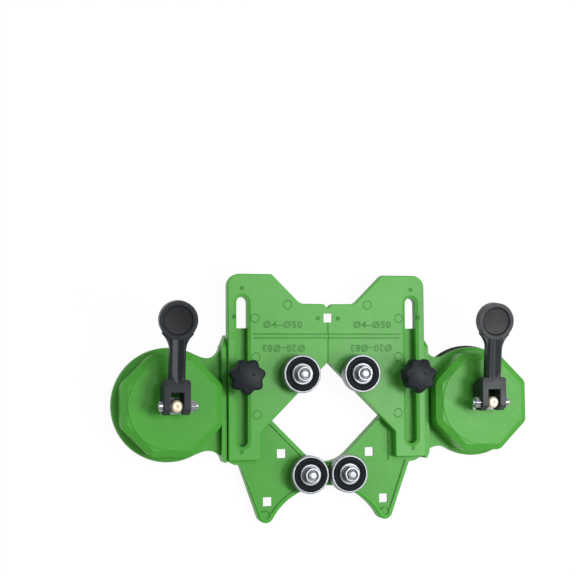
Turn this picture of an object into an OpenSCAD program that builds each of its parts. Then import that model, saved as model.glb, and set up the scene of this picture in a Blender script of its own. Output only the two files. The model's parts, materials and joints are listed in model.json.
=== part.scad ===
// Suction-mounted drill guide: a one-piece base held by two lever-operated suction cups
// carries a sliding plate, and four ball bearings centre a hole saw between them.
// X runs from cup to cup, Y is the slide direction, Z = 0 is the work surface.

/* [Layout] */
// Gap between a cup housing's skirt and the inner face of its rail
cup_clear = 0.1; // [0:0.1:17]
// Height of the base's underside above the work surface
base_lift = 1.5; // [1:0.1:2.5]
// Height of the bed that the slide plate runs on
bed_top = 9.7; // [9:0.1:12]
// Clearance between sliding faces
slide_gap = 0.15; // [0.1:0.01:0.3]
// Distance of the clamp bolts inside the slide plate's side edges
clamp_inset = 8.6; // [8:0.1:10]
// Distance of the clamp bolts above the cup line
clamp_y = 15.9; // [12:0.1:20]

/* [Cup housing] */
// Radius of the round skirt of a cup housing
skirt_r = 32.8; // [32:0.1:35]
// Height of the skirt's top edge
skirt_top = 9; // [8:0.1:9.5]
// Distance across the flats of the octagonal housing
octagon_af = 57.4; // [55:0.1:58]
// Height of the octagon's upper edge
octagon_top = 21.8; // [20:0.1:23]
// Radius of the round top face
crown_r = 25.1; // [22:0.1:26]
// Height of the round top face
crown_top = 24.5; // [24:0.1:28]
// Height of the step round the top face
crown_step = 0.5; // [0.3:0.1:1.2]
// Wall thickness of the moulded parts
wall = 2.4; // [2:0.1:2.8]
// Height of the pad under the lever's cam
pad_h = 1.2; // [0.8:0.1:2]

/* [Suction cup] */
// Radius of the rubber cup
cup_r = 32.4; // [32:0.1:35]
// Thickness of the rubber under the skirt
cup_rim_h = 3.4; // [3:0.1:4]
// Width of the ring that seals on the work surface
cup_seal_w = 3; // [2:0.1:5]
// Radius of the rubber hub round the post's foot
hub_r = 11; // [10:0.1:13]
// Height of the top of the rubber hub with the lever locked
hub_top = 13.4; // [13:0.1:15]

/* [Lever] */
// Radius of the post that the lever pulls on
post_r = 3.3; // [3:0.05:3.5]
// Height of the lever's pivot with the lever locked
pivot_z = 37.7; // [37:0.1:40]
// Height of the post's top above the pivot
post_over = 3.4; // [3:0.1:3.8]
// Stroke of the post from locked to released
stroke = 6.1; // [5.5:0.1:6.3]
// Width of the lever's forked end
fork_w = 15; // [14:0.1:17]
// Width of the slot in the forked end
fork_slot = 7; // [6.9:0.05:7.4]
// Distance from the pivot to the centre of the round paddle
lever_len = 46.9; // [42:0.1:52]
// Radius of the round paddle
paddle_r = 10.7; // [9:0.1:12]
// Width of the lever's neck
neck_w = 8.8; // [7:0.1:10]
// Slope of the lever's neck in degrees
lever_tilt = 8; // [6:0.5:10]

/* [Slide plate] */
// Overall width of the slide plate
plate_w = 120; // [112:0.1:130]
// Overall height of the slide plate along the slide direction
plate_len = 107.6; // [104:0.1:110]
// Thickness of the slide plate
plate_t = 6.15; // [5.5:0.05:7]
// Radius of the outer corners
plate_corner_r = 7; // [4:0.1:9]
// Width of the two long slots
slot_w = 6.6; // [6.4:0.1:7]
// Travel of the plate each way from its stored place
travel = 37; // [30:0.5:37]
// Length of the slots above the upper end of that travel
slot_spare = 6.2; // [0.5:0.1:8]

/* [Bearings] */
// Outer radius of a guide bearing
bearing_r = 11; // [10.9:0.05:11]
// Bore radius of a guide bearing
bearing_bore_r = 4; // [3.9:0.05:4]
// Width of a guide bearing
bearing_h = 7; // [6:0.1:7]
// Distance of the upper bearings from the centre line
upper_x = 18.1; // [17:0.1:20]
// Distance of the upper bearings above the cup line
upper_y = 17.2; // [16:0.1:19]
// Distance of the lower bearings from the centre line
lower_x = 11.8; // [11.3:0.1:12.5]
// Distance of the lower bearings below the cup line
lower_y = 41.2; // [41:0.1:42]

/* [Fasteners] */
// Shank radius of the bearing bolts
bolt_r = 2.5; // [2.4:0.05:2.5]
// Shank radius of the clamp bolts
clamp_bolt_r = 3; // [2.9:0.05:3]
// Shank radius of the lever screws
pin_r = 1.75; // [1.6:0.05:1.8]
// Radius of a star knob over its lobes
knob_r = 10.4; // [10:0.1:12]
// Height of a star knob
knob_h = 16.75; // [14:0.05:18]
// Number of lobes round a star knob
knob_lobes = 7; // [5:1:9]

/* [Hidden] */

$fn = 48;
// Points on each rounded corner of an outline
corner_steps = 8;
// Overrun that every cut passes its faces by
over = 1;
// Play between a pin and its bore
fit_gap = 0.05;
// Play between parts that only locate each other
loose_gap = 0.2;
left = -1;
right = 1;

// Slide plate places, measured from the cup line
plate_top = bed_top + slide_gap + plate_t;
plate_bottom = bed_top + slide_gap;
plate_half_w = plate_w / 2;
clamp_x = plate_half_w - clamp_inset;
plate_y_high = 75.4;
plate_y_low = plate_y_high - plate_len;
shoulder_x = 16.6;
shoulder_y = 58.2;
shoulder_fillet_r = 6;
notch_half_w = 2.6;
notch_depth = 2.6;
apex_y = 24.2;
leg_w = 18.9;
leg_x = plate_half_w - leg_w;
slot_stop_gap = 0.4;
slot_low_y = clamp_y - travel - clamp_bolt_r - slot_stop_gap;
slot_high_y = clamp_y + travel + clamp_bolt_r + slot_spare;
slot_len = slot_high_y - slot_low_y;
slot_mid_y = (slot_high_y + slot_low_y) / 2;
plate_small_r = 0.8;
plate_nick_r = 0.6;
plate_bend_r = 1.2;
index_hole_y = 49.9;
square_hole = 5.2;
rib_y = 39.3;
rib_w = 1.5;
line_depth = 0.4;
line_w = 0.7;
slot_bevel_w = 1.75;
slot_bevel_depth = 0.8;
plate_edge = 1.6;
boss_h = 0.8;
boss_r = 6.5;
skin = 2.6;

// Base outline places, measured from the cup line
rail_gap = 0.3;
rail_in = plate_half_w + rail_gap;
cup_x = rail_in + cup_clear + skirt_r;
rail_w = 2.8;
rail_h = 4.2;
rail_top_y = 33;
rail_tip_y = 40;
rail_low_y = -33.3;
rail_out = rail_in + rail_w;
rail_foot = 1.3;
rail_foot_y = -29.7;
bed_high_y = 44;
bed_inset = 3;
bed_step_y = 38;
bed_low_y = -34.2;
bed_corner_r = 1;
neck_y = 26.65;
neck_skirt_r = 12.5;
neck_rail_r = 7.3;
neck_foot_r = 10.4;
neck_foot_angle = 201;
arm_root_inset = 8.8;
arm_root = [rail_in - arm_root_inset, -35.4];
arm_step = [rail_in - 5, -34.9];
arm_step_top = [rail_in - 2, -33.1];
arm_tip = [36.3, -64.4];
arm_tip_r = 4.7;
belly_r = 37.3;
belly_y = arm_tip.y - sqrt(pow(belly_r + arm_tip_r, 2) - pow(arm_tip.x, 2));
vee_apex_y = -42.5;
vee_fillet_r = 19;
vee_corner_r = 1.5;
arm_rim_w = 2.4;
arm_rim_h = 1;
spare_high = [26.85, -29.2];
spare_low = [35.4, -56.8];
// The bolt's head sits against the skin of the hollow underside
arm_skin_low = bed_top - arm_rim_h - wall;

// The whole part is shifted so that the origin is under the middle of its box
origin_y = (plate_y_high + arm_tip.y - arm_tip_r) / 2;

// Cup housing
corner_cut = 0.6;
skirt_edge = 2.4;
housing_round_r = octagon_af / 2 / cos(22.5) - corner_cut;
housing_inner_r = octagon_af / 2 - wall;
housing_roof = crown_top - wall;
mouth_r = skirt_r - wall;
guide_r = post_r + wall;
hub_room = 1.2;
cup_room_r = max(cup_r, skirt_r) + 4 * loose_gap;
guide_low = hub_top + hub_room;
wear_t = 1;
wear_top = crown_top + pad_h + wear_t;
// Distance from the pivot to the wear plate with the lever locked, and released
cam_lock = pivot_z - wear_top;
cam_release = cam_lock - stroke;
pad_w = fork_w - 2 * loose_gap;
pad_len = 2 * cam_release - 2 * loose_gap;

// Post and its foot in the rubber
foot_r = 8;
foot_t = 2;
foot_low = 8;
post_top = pivot_z + post_over;
post_chamfer = 1;
post_dimple_r = 0.9;

// Heights on the rubber cup's outside as shares of its rim and of its hub
rim_edge_share = 0.6;
hub_foot_share = 0.62;
hub_edge_share = 0.72;

// Lever
fork_top = 4.5;
fork_front = 14.6;
fork_slot_end = 7.3;
fork_corner_r = 2;
channel_y = 11.7;
channel_depth = 0.8;
neck_edge = 1;
fork_back_top = 2.4;
neck_t = 6.6;
paddle_t = 5.6;
paddle_dish_r = 8.1;
paddle_dish = 0.8;
web_r = 12;
cam_steps = 18;
cam_gap = 0.06;
pin_head_r = 2.9;
pin_head_h = 2.4;
pin_nut_af = 6;
pin_nut_h = 3.2;
pin_over = 1.3;

// Bearing inside
pitch_r = 7.5;
ball_r = 1.985;
ball_count = 7;
ring_shoulder_in = 6.1;
ring_shoulder_out = 9;
seal_r = 9.9;
seal_t = 0.8;
seal_recess = 0.1;
seal_gap = 0.2;
cage_t = 1;
cage_h = 4.8;
bush_flange_r = 6;
bush_flange_h = 2;
seat_gap = 0.01;
bush_wall_r = bearing_bore_r - seat_gap;

// Bearing fasteners
washer_r = 5;
washer_t = 0.8;
nut_af = 8;
nut_hex_h = 3.2;
nut_h = 4.6;
nut_collar_r = 3.7;
bolt_over = 0.5;
bolt_head_r = 5;
bolt_head_h = 2.2;
neck_h = 2.4;
bolt_chamfer = 0.6;

// Clamp fasteners
clamp_square = 6.2;
clamp_head_r = 6.4;
clamp_head_h = 2.8;
clamp_washer_r = 7;
clamp_washer_t = 1.2;
knob_lift = clamp_washer_t + fit_gap;
knob_foot_r = 7;
knob_foot_h = 7.6;
knob_lobe_r = 5;
knob_lobe_steps = 9;
knob_edge = 2.6;
knob_dome = 0.7;
knob_nut_af = 10;
knob_nut_h = 5;
knob_cap_t = 4.5;
clamp_bolt_top = plate_top + knob_lift + knob_h - knob_cap_t;
knob_phase = 7;

// Unit vector, and the unit vector square to it on the left
function unit(v) = v / norm(v);
function left_of(v) = [-v.y, v.x];
// Corner of an outline moved inwards by d, where the outline runs anticlockwise
function inset_corner(p, q, r, d) =
    let (n = left_of(unit(q - p)), m = left_of(unit(r - q))) q + (n + m) * d / (1 + n * m);
function inset(points, d) =
    let (n = len(points))
    [for (i = [0:n - 1]) inset_corner(points[(i + n - 1) % n], points[i], points[(i + 1) % n], d)];
// Radii of the corners of an outline after it has moved inwards by d
function turn(p, q, r) = cross(q - p, r - q);
function inset_radii(points, radii, d) =
    let (n = len(points))
    [for (i = [0:n - 1])
        radii[i] == 0 ? 0 :
        let (t = turn(points[(i + n - 1) % n], points[i], points[(i + 1) % n]))
        max(0, radii[i] - sign(t) * d)];
// Points of one rounded corner
function corner_arc(p, q, r, rad) =
    rad == 0 ? [q] :
    let (u = unit(p - q), v = unit(r - q), half = acos(u * v) / 2)
    let (mid = q + unit(u + v) * rad / sin(half))
    let (a = q + u * rad / tan(half) - mid, b = q + v * rad / tan(half) - mid)
    let (start = atan2(a.y, a.x), raw = atan2(b.y, b.x) - start)
    let (sweep = raw > 180 ? raw - 360 : raw < -180 ? raw + 360 : raw)
    [for (k = [0:corner_steps])
        mid + rad * [cos(start + sweep * k / corner_steps), sin(start + sweep * k / corner_steps)]];
function rounded(points, radii) =
    let (n = len(points))
    [for (i = [0:n - 1])
        each corner_arc(points[(i + n - 1) % n], points[i], points[(i + 1) % n], radii[i])];
function mirror_x(points) = [for (i = [len(points) - 1:-1:0]) [-points[i].x, points[i].y]];
function reversed(list) = [for (i = [len(list) - 1:-1:0]) list[i]];
// Where the tangent from a point meets a circle
function tangent_point(from, centre, r) =
    let (d = centre - from, a = atan2(d.y, d.x) + asin(r / norm(d)))
    from + sqrt(d * d - r * r) * [cos(a), sin(a)];
// Points of an arc between two angles
function arc_points(centre, r, from, to) =
    [for (k = [0:corner_steps])
        let (a = from + (to - from) * k / corner_steps) centre + r * [cos(a), sin(a)]];
// Centre of the concave fillet that is tangent to the skirt at a neck of the given half width
function neck_centre(y, r) = [cup_x - sqrt(pow(skirt_r + r, 2) - pow(y + r, 2)), y + r];

module prism(points, low, high) {
    translate([0, 0, low]) linear_extrude(high - low) polygon(points);
}

module disc(r, low, high) {
    translate([0, 0, low]) cylinder(r = r, h = high - low);
}

// Disc with a rounded upper edge
module round_disc(r, low, high, edge) {
    rotate_extrude() polygon(concat([[0, low], [r, low]],
        arc_points([r - edge, high - edge], edge, 0, 90), [[0, high]]));
}

module block(w, l, low, high) {
    translate([-w / 2, -l / 2, low]) cube([w, l, high - low]);
}

module hexagon(af, low, high) {
    translate([0, 0, low]) cylinder(r = af / 2 / cos(30), h = high - low, $fn = 6);
}

module both_sides() {
    children();
    mirror([1, 0, 0]) children();
}

module slot_shape(w, l, low, high) {
    reach = l / 2 - w / 2;
    translate([0, reach, 0]) disc(w / 2, low, high);
    translate([0, -reach, 0]) disc(w / 2, low, high);
    block(w, 2 * reach, low, high);
}

// Outline of the slide plate's right half, then the whole plate
plate_right = [[leg_x, plate_y_low], [plate_half_w, plate_y_low],
    [plate_half_w, plate_y_high], [shoulder_x + plate_y_high - shoulder_y, plate_y_high],
    [shoulder_x, shoulder_y], [notch_half_w, shoulder_y]];
plate_right_radii = [plate_small_r, plate_small_r, plate_corner_r, plate_bend_r,
    shoulder_fillet_r, plate_nick_r];
leg_top = [leg_x, apex_y - leg_x];
plate_points = concat([[0, apex_y], leg_top], plate_right, [[0, shoulder_y - notch_depth]],
    mirror_x(plate_right), mirror_x([leg_top]));
plate_radii = concat([plate_small_r, plate_bend_r], plate_right_radii, [plate_nick_r],
    reversed(plate_right_radii), [plate_bend_r]);

module plate_shape(d, low, high) {
    prism(rounded(inset(plate_points, d), inset_radii(plate_points, plate_radii, d)), low, high);
}

module plate_slots(w, l, low, high) {
    both_sides() translate([clamp_x, slot_mid_y, 0]) slot_shape(w, l, low, high);
}

// The underside is hollow, with a wall round every hole and a web along the centre line
module plate_pocket() {
    low = plate_bottom - over;
    high = plate_top - skin;
    difference() {
        plate_shape(wall, low, high);
        plate_slots(slot_w + 2 * wall, slot_len + 2 * wall, low - over, high + over);
        both_sides() translate([upper_x, upper_y, 0]) disc(bolt_head_r + wall, low - over, high + over);
        translate([0, index_hole_y, 0]) disc(bolt_head_r + wall, low - over, high + over);
        block(wall, 2 * plate_len, low - over, high + over);
        translate([0, rib_y, 0]) block(plate_w, wall, low - over, high + over);
    }
}

// Shallow chamfer round the top of a slot
module slot_bevel() {
    reach = slot_len / 2 - slot_w / 2;
    low = plate_top - slot_bevel_depth;
    slope = slot_bevel_w / slot_bevel_depth;
    wide = slot_w / 2 + slot_bevel_w + slope * over;
    for (end = [-reach, reach]) translate([0, end, low])
        cylinder(r1 = slot_w / 2, r2 = wide, h = slot_bevel_depth + over);
    translate([0, reach, low]) rotate([90, 0, 0]) linear_extrude(2 * reach)
        polygon([[-slot_w / 2, 0], [slot_w / 2, 0],
            [wide, slot_bevel_depth + over], [-wide, slot_bevel_depth + over]]);
}

module slide_plate() {
    color([0.42, 0.70, 0.38]) difference() {
        union() {
            difference() {
                plate_shape(0, plate_bottom, plate_top);
                plate_pocket();
                // Centre line and the pair of index lines across it
                translate([0, (apex_y + index_hole_y) / 2, 0])
                    block(line_w, index_hole_y - apex_y, plate_top - line_depth, plate_top + over);
                difference() {
                    translate([0, rib_y, 0]) block(plate_w - 2 * plate_edge, rib_w + 2 * line_w,
                        plate_top - line_depth, plate_top + over);
                    translate([0, rib_y, 0]) block(plate_w, rib_w, plate_bottom, plate_top + 2 * over);
                    plate_slots(slot_w + 2 * slot_bevel_w + line_w, slot_len + 2 * slot_bevel_w,
                        plate_bottom, plate_top + 2 * over);
                }
            }
            both_sides() translate([upper_x, upper_y, 0]) disc(boss_r, plate_top - over, plate_top + boss_h);
        }
        plate_slots(slot_w, slot_len, plate_bottom - over, plate_top + over);
        both_sides() translate([clamp_x, slot_mid_y, 0]) slot_bevel();
        both_sides() translate([upper_x, upper_y, 0]) {
            block(square_hole, square_hole, plate_bottom - over, plate_top + boss_h + over);
            disc(bolt_head_r + loose_gap, plate_bottom - over, plate_top + boss_h - neck_h);
        }
        translate([0, index_hole_y, 0]) {
            block(square_hole, square_hole, plate_bottom - over, plate_top + over);
            disc(bolt_head_r + loose_gap, plate_bottom - over, plate_top + boss_h - neck_h);
        }
    }
}

// Outline of the arms and the bed, without the round belly and tips
arm_edge_end = tangent_point(arm_root, arm_tip, arm_tip_r);
frame_right = [arm_tip, arm_edge_end, arm_root, arm_step, arm_step_top, [rail_in, arm_step_top.y],
    [rail_in, bed_step_y], [rail_in - bed_inset, bed_step_y], [rail_in - bed_inset, bed_high_y],
    [leg_x, bed_high_y], [leg_x, vee_apex_y + leg_x]];
frame_right_radii = [0, 0, 0, bed_corner_r, bed_corner_r, 0, 0, 0, bed_corner_r, bed_corner_r, vee_corner_r];
frame_points = concat([[0, belly_y]], frame_right, [[0, vee_apex_y]], mirror_x(frame_right));
frame_radii = concat([0], frame_right_radii, [vee_fillet_r], reversed(frame_right_radii));

module frame_shape(d, low, high) {
    difference() {
        prism(rounded(inset(frame_points, d), inset_radii(frame_points, frame_radii, d)), low, high);
        translate([0, belly_y, 0]) disc(belly_r + d, low - over, high + over);
    }
    both_sides() translate(arm_tip) disc(arm_tip_r - d, low, high);
}

// Outline of the neck above the cup line, from the rail round two arcs to the cup's centre
function neck_side(rail_r, start, d) =
    let (centre = neck_centre(neck_y, neck_skirt_r))
    concat(arc_points([centre.x, neck_y + rail_r], rail_r + d, start, 270),
        arc_points(centre, neck_skirt_r + d, 270, 360 + atan2(-centre.y, cup_x - centre.x)));

module neck_shape(d, start, low, high) {
    upper = neck_side(neck_rail_r, 180, d);
    lower = [for (p = reversed(neck_side(neck_foot_r, neck_foot_angle, d))) [p.x, -p.y]];
    ends = [[rail_in, lower[len(lower) - 1].y], [rail_in, upper[0].y]];
    intersection() {
        prism(concat(upper, [[cup_x, 0]], lower, ends), low, high);
        translate([start, -cup_x, low - over]) cube([cup_x, 2 * cup_x, high - low + 2 * over]);
    }
}

// Ridge that guides the slide plate's edge, with a ramp and a taper at its upper end
module rail() {
    high = bed_top + rail_h;
    intersection() {
        translate([rail_in - over, 0, 0]) rotate([90, 0, 90]) linear_extrude(rail_w + 2 * over) polygon([
            [rail_low_y - over, base_lift], [rail_tip_y + over, base_lift], [rail_tip_y + over, bed_top],
            [rail_tip_y, bed_top], [rail_top_y, high], [rail_low_y - over, high]]);
        prism([[rail_in, rail_low_y], [rail_in + rail_foot, rail_low_y], [rail_out, rail_foot_y],
            [rail_out, rail_top_y], [rail_in, rail_tip_y]], base_lift - over, high + over);
    }
}

module octagon(af, low, high) {
    rotate([0, 0, 22.5]) translate([0, 0, low]) cylinder(r = af / 2 / cos(22.5), h = high - low, $fn = 8);
}

// Octagonal housing with cut corners and bevels that run up to the stepped round crown
module housing_body() {
    bevel_run = octagon_af / 2 - crown_r;
    bevel_high = crown_top - crown_step;
    bevel_rise = bevel_high - octagon_top;
    difference() {
        intersection() {
            octagon(octagon_af, skirt_top - over, bevel_high);
            disc(housing_round_r, skirt_top - over, bevel_high);
        }
        for (a = [0:45:315]) rotate([0, 0, a]) translate([octagon_af / 2, 0, octagon_top])
            rotate([0, atan2(bevel_rise, bevel_run), 0])
            translate([-2 * bevel_run, -octagon_af / 2, 0]) cube([4 * bevel_run, octagon_af, 2 * bevel_run]);
    }
    disc(crown_r, octagon_top - over, crown_top);
    round_disc(skirt_r, cup_rim_h, skirt_top, skirt_edge);
    block(pad_w, pad_len, crown_top - over, crown_top + pad_h);
}

// Hollow of the housing, with the guide tube for the post left standing
module housing_hollow() {
    difference() {
        union() {
            disc(mouth_r, base_lift - over, skirt_top - wall);
            disc(housing_inner_r, base_lift, octagon_top - wall);
            disc(crown_r - wall, octagon_top - wall - over, housing_roof);
        }
        disc(guide_r, guide_low, crown_top);
    }
    disc(post_r + 2 * fit_gap, base_lift, crown_top + pad_h + over);
}

module frame_pocket() {
    low = base_lift - over;
    high = arm_skin_low;
    difference() {
        frame_shape(wall, low, high);
        for (p = [spare_high, spare_low, [lower_x, -lower_y], [clamp_x, clamp_y]])
            both_sides() translate(p) disc(clamp_head_r + wall / 2, low - over, high + over);
        for (y = [bed_high_y - 3 * wall - bolt_head_r, bed_low_y + 3 * wall])
            translate([0, y, 0]) block(plate_w + over, wall / 2, low - over, high + over);
    }
}

module square_seats() {
    for (p = [spare_high, spare_low, [lower_x, -lower_y]]) both_sides() translate(p) {
        block(square_hole, square_hole, base_lift - over, bed_top + over);
        disc(bolt_head_r + loose_gap, base_lift - over, bed_top - neck_h);
    }
    both_sides() translate([clamp_x, clamp_y, 0]) {
        block(clamp_square, clamp_square, base_lift - over, bed_top + over);
        disc(clamp_head_r + loose_gap, base_lift - over, bed_top - neck_h);
    }
}

// Shallow field inside the raised rim of each arm, level with the bed under the plate
module arm_field() {
    difference() {
        frame_shape(arm_rim_w, bed_top - arm_rim_h, bed_top + over);
        both_sides() translate([leg_x - arm_rim_w, bed_low_y, bed_top - 2 * over])
            cube([plate_half_w, bed_high_y - bed_low_y, 4 * over]);
        both_sides() translate([lower_x, -lower_y, 0]) disc(boss_r, bed_top - 2 * over, bed_top + 2 * over);
    }
}

module base() {
    color([0.38, 0.68, 0.34]) difference() {
        union() {
            difference() {
                frame_shape(0, base_lift, bed_top);
                frame_pocket();
                arm_field();
            }
            both_sides() {
                neck_shape(0, rail_in, base_lift, skirt_top);
                rail();
                translate([cup_x, 0, 0]) housing_body();
            }
        }
        both_sides() {
            difference() {
                neck_shape(wall, rail_in + wall, base_lift - over, skirt_top - wall);
                translate([cup_x, 0, 0]) disc(skirt_r, base_lift - 2 * over, skirt_top);
            }
            translate([cup_x, 0, 0]) {
                housing_hollow();
                disc(cup_room_r, base_lift - over, cup_rim_h);
            }
        }
        square_seats();
    }
}

// Rubber cup drawn up in the middle by the post, as it is with the lever locked
module suction_cup(side) {
    translate([side * cup_x, 0, 0]) color([0.08, 0.08, 0.08]) difference() {
        rotate_extrude($fn = 64) polygon([
            [0, hub_top / 2 - foot_t / 2], [hub_r, hub_top / 2 - foot_t],
            [mouth_r - hub_r / 2, cup_rim_h / 2 + foot_t / 4],
            [cup_r - cup_seal_w, 0], [cup_r, 0],
            [cup_r, cup_rim_h * rim_edge_share], [cup_r - cup_rim_h / 3, cup_rim_h],
            [mouth_r - cup_seal_w, cup_rim_h],
            [hub_r + foot_t, hub_top * hub_foot_share], [hub_r, hub_top * hub_edge_share],
            [hub_r - foot_t / 2, hub_top], [0, hub_top]]);
        disc(post_r + loose_gap, foot_low, hub_top + over);
        disc(foot_r + loose_gap, foot_low - fit_gap, foot_low + foot_t + fit_gap);
    }
}

// Steel post with a foot disc, a chamfered head and a cross bore for the lever screw
module post(side) {
    translate([side * cup_x, 0, 0]) color([0.85, 0.83, 0.76]) difference() {
        rotate_extrude() polygon([[0, foot_low], [foot_r, foot_low], [foot_r, foot_low + foot_t],
            [post_r, foot_low + foot_t], [post_r, post_top - post_chamfer], [post_r - post_chamfer, post_top],
            [post_dimple_r, post_top], [0, post_top - post_dimple_r]]);
        translate([0, 0, pivot_z]) rotate([0, 90, 0])
            cylinder(r = pin_r + fit_gap, h = 4 * post_r, center = true);
    }
}

// Cam outline in the Y-Z plane about the pivot: the distance from the pivot to the wear plate
// falls in proportion to the lever's angle, so the outline is the envelope of those lines
function cam_reach(t) = cam_lock - cam_gap - (cam_lock - cam_release) * t / 90;
function cam_point(t) =
    let (slope = (cam_lock - cam_release) / (PI / 2))
    [-cam_reach(t) * sin(t) + slope * cos(t), -cam_reach(t) * cos(t) - slope * sin(t)];
cam_points = concat([for (k = [0:cam_steps]) cam_point(90 * k / cam_steps)],
    [[-cam_release + cam_gap, 0], [-fork_back_top, fork_top], [channel_y, fork_top],
    [fork_front, fork_top + (fork_front - channel_y) * tan(lever_tilt)],
    [fork_front, fork_top - neck_t], [fork_slot_end + fork_back_top, -cam_lock + cam_gap]]);

// Moves a piece to the neck's start on the fork, with Z square to the neck's top
module at_neck() {
    translate([0, channel_y, fork_top]) rotate([lever_tilt, 0, 0]) children();
}
neck_reach = (lever_len - channel_y) / cos(lever_tilt);

// Neck with bevelled upper edges, and webs that flare it out to the paddle
module neck_bar() {
    w = neck_w / 2;
    translate([0, neck_reach, 0]) rotate([90, 0, 0]) linear_extrude(neck_reach) polygon([
        [-w, -neck_t], [w, -neck_t], [w, -neck_edge], [w - neck_edge, 0], [neck_edge - w, 0], [-w, -neck_edge]]);
    difference() {
        web_y = neck_reach - 1.6 * paddle_r;
        translate([-paddle_r * 0.8, web_y, -paddle_t]) cube([1.6 * paddle_r, 1.4 * paddle_r, paddle_t - neck_edge]);
        for (side = [left, right]) translate([side * (w + web_r), web_y, -neck_t - over])
            cylinder(r = web_r, h = neck_t + 2 * over);
    }
}

// Shallow V channel along the neck that runs out in a point on the fork
module neck_channel() {
    half = neck_w / 2 - neck_edge;
    slope = channel_depth / half;
    intersection() {
        translate([0, neck_reach, 0]) rotate([90, 0, 0]) linear_extrude(neck_reach + over)
            polygon([[0, -channel_depth], [2 * half, channel_depth], [-2 * half, channel_depth]]);
        rotate([-lever_tilt, 0, 0]) translate([0, neck_reach, 0]) rotate([90, 0, 0]) linear_extrude(neck_reach)
            polygon([[0, 0], [3 * neck_w, 3 * neck_w * slope], [-3 * neck_w, 3 * neck_w * slope]]);
    }
}

module paddle() {
    difference() {
        translate([0, neck_reach, -paddle_t]) cylinder(r = paddle_r, h = paddle_t);
        translate([0, neck_reach, -paddle_dish]) cylinder(r = paddle_dish_r, h = paddle_dish + over);
    }
}

// Forked end with the cams, its outline in plan rounded towards the neck
module fork() {
    intersection() {
        translate([-fork_w, 0, 0]) rotate([90, 0, 90]) linear_extrude(2 * fork_w) polygon(cam_points);
        prism(rounded([[-fork_w / 2, -fork_w], [fork_w / 2, -fork_w],
            [fork_w / 2, fork_front], [-fork_w / 2, fork_front]],
            [0, 0, fork_corner_r, fork_corner_r]), -2 * cam_lock, 2 * fork_top);
    }
}

module lever(side) {
    translate([side * cup_x, 0, pivot_z]) color([0.16, 0.17, 0.19]) difference() {
        union() {
            difference() {
                union() {
                    fork();
                    at_neck() neck_bar();
                }
                at_neck() neck_channel();
                at_neck() translate([0, neck_reach, -paddle_t - over]) cylinder(r = paddle_r / 2, h = neck_t);
            }
            at_neck() paddle();
        }
        block(fork_slot, 2 * fork_slot_end, -2 * cam_lock, 2 * fork_top);
        rotate([0, 90, 0]) cylinder(r = pin_r + fit_gap, h = 2 * fork_w, center = true);
    }
}

// Pan-head screw across the fork, with its nut on the inner side
module lever_screw(side) {
    inner = -side;
    end = fork_w / 2 + pin_nut_h + pin_over;
    translate([side * cup_x, 0, pivot_z]) rotate([0, -90 * inner, 0]) color([0.78, 0.79, 0.8]) {
        difference() {
            union() {
                disc(pin_head_r, fork_w / 2, fork_w / 2 + pin_head_h);
                disc(pin_r, -end, fork_w / 2 + pin_head_h / 2);
            }
            block(pin_head_r / 3, pin_head_r, fork_w / 2 + pin_head_h / 2, fork_w);
            block(pin_head_r, pin_head_r / 3, fork_w / 2 + pin_head_h / 2, fork_w);
        }
    }
}

module lever_nut(side) {
    inner = -side;
    translate([side * cup_x, 0, pivot_z]) rotate([0, 90 * inner, 0]) color([0.78, 0.79, 0.8]) difference() {
        intersection() {
            hexagon(pin_nut_af, fork_w / 2, fork_w / 2 + pin_nut_h);
            translate([0, 0, fork_w / 2]) cylinder(r1 = pin_nut_af, r2 = pin_nut_af / 2, h = pin_nut_h);
        }
        disc(pin_r + fit_gap / 5, fork_w / 2 - over, fork_w);
    }
}

module wear_plate(side) {
    translate([side * cup_x, 0, 0]) color([0.7, 0.71, 0.72]) difference() {
        block(pad_w, pad_len, crown_top + pad_h, wear_top);
        disc(post_r + loose_gap, crown_top, wear_top + over);
    }
}

// Round-headed bolt whose square neck sits in a square hole and stops it turning
module neck_bolt(r, head_r, head_h, square, head_top, neck_top, top) {
    rotate_extrude() polygon([[0, head_top - head_h], [head_r * 0.6, head_top - head_h],
        [head_r, head_top - head_h / 3], [head_r, head_top], [r, head_top],
        [r, top - bolt_chamfer], [r - bolt_chamfer, top], [0, top]]);
    block(square - loose_gap, square - loose_gap, head_top - head_h / 3, neck_top);
}

module clamp_bolt(side) {
    translate([side * clamp_x, clamp_y, 0]) color([0.75, 0.76, 0.77])
        neck_bolt(clamp_bolt_r, clamp_head_r, clamp_head_h, clamp_square,
            bed_top - neck_h, bed_top - fit_gap, clamp_bolt_top);
}

module clamp_washer(side) {
    translate([side * clamp_x, clamp_y, 0]) color([0.72, 0.73, 0.74]) difference() {
        disc(clamp_washer_r, plate_top, plate_top + clamp_washer_t);
        disc(clamp_bolt_r + loose_gap, plate_bottom, plate_top + 2 * clamp_washer_t);
    }
}

// Outline of the star knob: arcs of equal lobes that meet halfway between them
function lobe_reach(a) = let (place = knob_r - knob_lobe_r)
    place * cos(a) + sqrt(pow(knob_lobe_r, 2) - pow(place * sin(a), 2));
knob_outline = [for (k = [0:knob_lobes * knob_lobe_steps - 1])
    let (step = 360 / knob_lobes / knob_lobe_steps, i = k % knob_lobe_steps)
    let (a = (i - (knob_lobe_steps - 1) / 2) * step, turn = floor(k / knob_lobe_steps) * 360 / knob_lobes)
    lobe_reach(a) * [cos(turn + a), sin(turn + a)]];

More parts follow.
